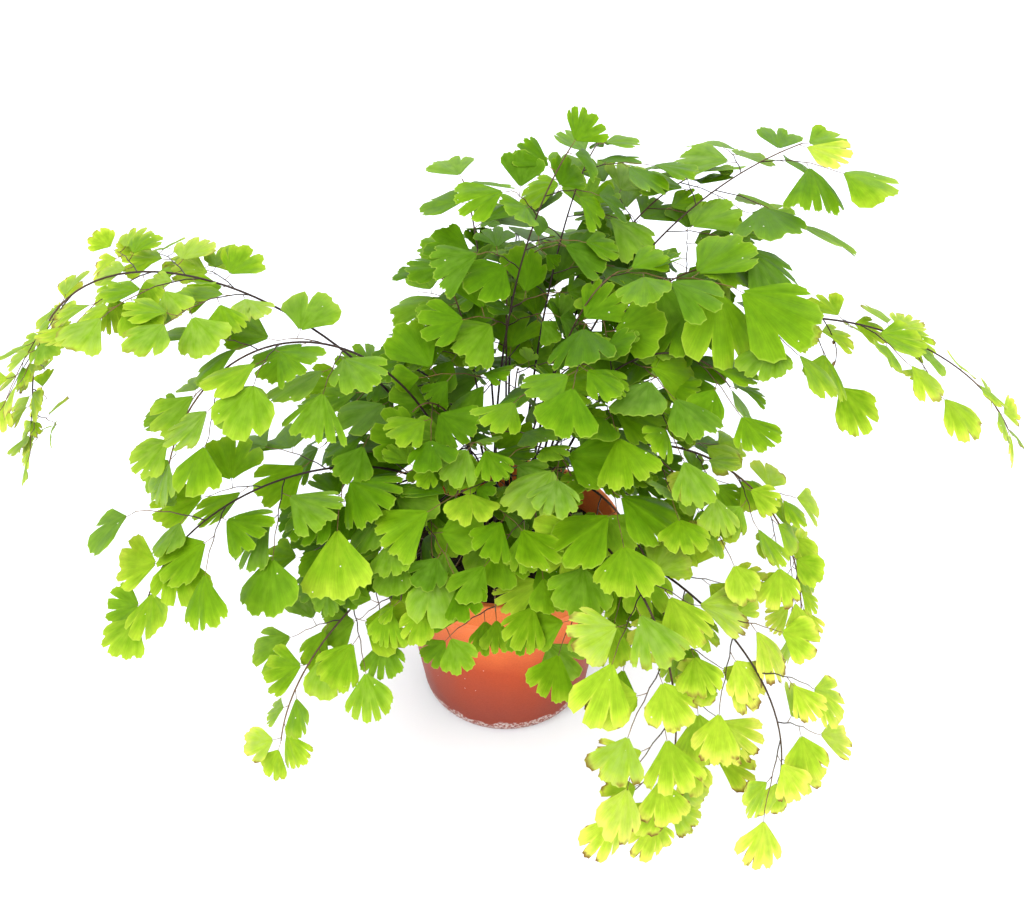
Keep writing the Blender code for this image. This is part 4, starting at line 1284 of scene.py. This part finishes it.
def young_material():
    """A young frond: pale green under brown hairs."""
    paint = Paint("young_stalk_green")
    tint, age, _ = paint.attribute("looks")
    hairs = paint.noise(paint.place(), 1600.0, 4.0)
    green = paint.ramp(paint.moved(age, tint, 0.3), *YOUNG_COLOURS)
    colour = paint.mix(paint.range(hairs, 0.5, 0.66), green, YOUNG_HAIR)
    paint.bump(hairs, 0.6, 0.0003)
    return paint.finish(colour, paint.range(hairs, 0.3, 0.7, 0.45, 0.75), 0.35)


# ---- Floor, light and camera ----
def make_floor():
    """A plain pale floor just below the pot."""
    paint = Paint("floor_pale")
    tone = paint.range(paint.noise(paint.place(), 3.0), 0.3, 0.7, 0.89, 0.91)
    colour = paint.vector(tone, paint.math("ADD", tone, 0.02), paint.math("ADD", tone, 0.08))
    paint.finish(colour, 0.75, 0.2)
    bm = bmesh.new()
    bmesh.ops.create_grid(bm, x_segments=4, y_segments=4, size=FLOOR_SIZE)
    mesh = bpy.data.meshes.new("floor")
    bm.to_mesh(mesh)
    bm.free()
    mesh.materials.append(paint.material)
    floor = bpy.data.objects.new("floor", mesh)
    floor.location = (0, 0, -FLOOR_GAP)
    bpy.context.scene.collection.objects.link(floor)


def add_light(name, place, target, size, power, colour):
    """A soft square light at a place, aimed at a target."""
    data = bpy.data.lights.new(name, "AREA")
    data.size = size
    data.energy = power
    data.color = colour
    made = bpy.data.objects.new(name, data)
    made.location = place
    made.rotation_euler = (Vector(target) - Vector(place)).to_track_quat("-Z", "Y").to_euler()
    bpy.context.scene.collection.objects.link(made)


def make_light():
    """Plain soft studio light: a white surround and three large lamps."""
    world = bpy.data.worlds.new("studio")
    world.use_nodes = True
    background = world.node_tree.nodes["Background"]
    background.inputs["Color"].default_value = (0.96, 0.98, 1.0, 1)
    background.inputs["Strength"].default_value = WORLD_LIGHT
    bpy.context.scene.world = world
    for lamp in LAMPS:
        add_light(*lamp)


def make_camera():
    """The camera that sees the plant as in the photograph."""
    data = bpy.data.cameras.new("camera")
    data.sensor_width = 36
    data.lens = LENS
    data.clip_start = 0.01
    camera = bpy.data.objects.new("camera", data)
    camera.location = CAMERA_PLACE
    camera.rotation_euler = (math.radians(90 - CAMERA_PITCH), 0, 0)
    bpy.context.scene.collection.objects.link(camera)
    bpy.context.scene.camera = camera


def grow_plant():
    """The fronds and croziers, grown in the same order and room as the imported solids."""
    space = Space()
    for name in ("pot", "potting_soil", "rhizome"):
        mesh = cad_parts[name].data
        space.add([v.co.copy() for v in mesh.vertices], [p.vertices[:] for p in mesh.polygons], name)
    stems = [settled_arch(space, frond) for frond in FRONDS]
    croziers = [settled_crozier(space, crozier) for crozier in CROZIERS]
    fronds = [grow_frond(space, frond, stem) for frond, stem in zip(FRONDS, stems)]
    return fronds, croziers


def main():
    """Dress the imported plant."""
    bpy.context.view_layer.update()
    fronds, croziers = grow_plant()
    materials = [stalk_material(), leaf_material()]
    for frond, growth in zip(FRONDS, fronds):
        make_frond(frond, growth, materials)
    young = [young_material()]
    for crozier, stem in zip(CROZIERS, croziers):
        make_crozier(crozier, stem, young)
    peat = earth_material("peat_fibres", *PEAT_COLOURS, 420.0, 0.8)
    rootstock = earth_material("rootstock_scales", *ROOTSTOCK_COLOURS, 600.0, 0.6)
    make_pot(pot_material())
    make_soil(peat)
    make_crumbs(peat)
    make_stuck_fibres(peat)
    make_rhizome(rootstock)
    make_floor()
    make_light()
    make_camera()
    bpy.context.scene.view_settings.view_transform = "Standard"
    bpy.context.view_layer.update()


main()
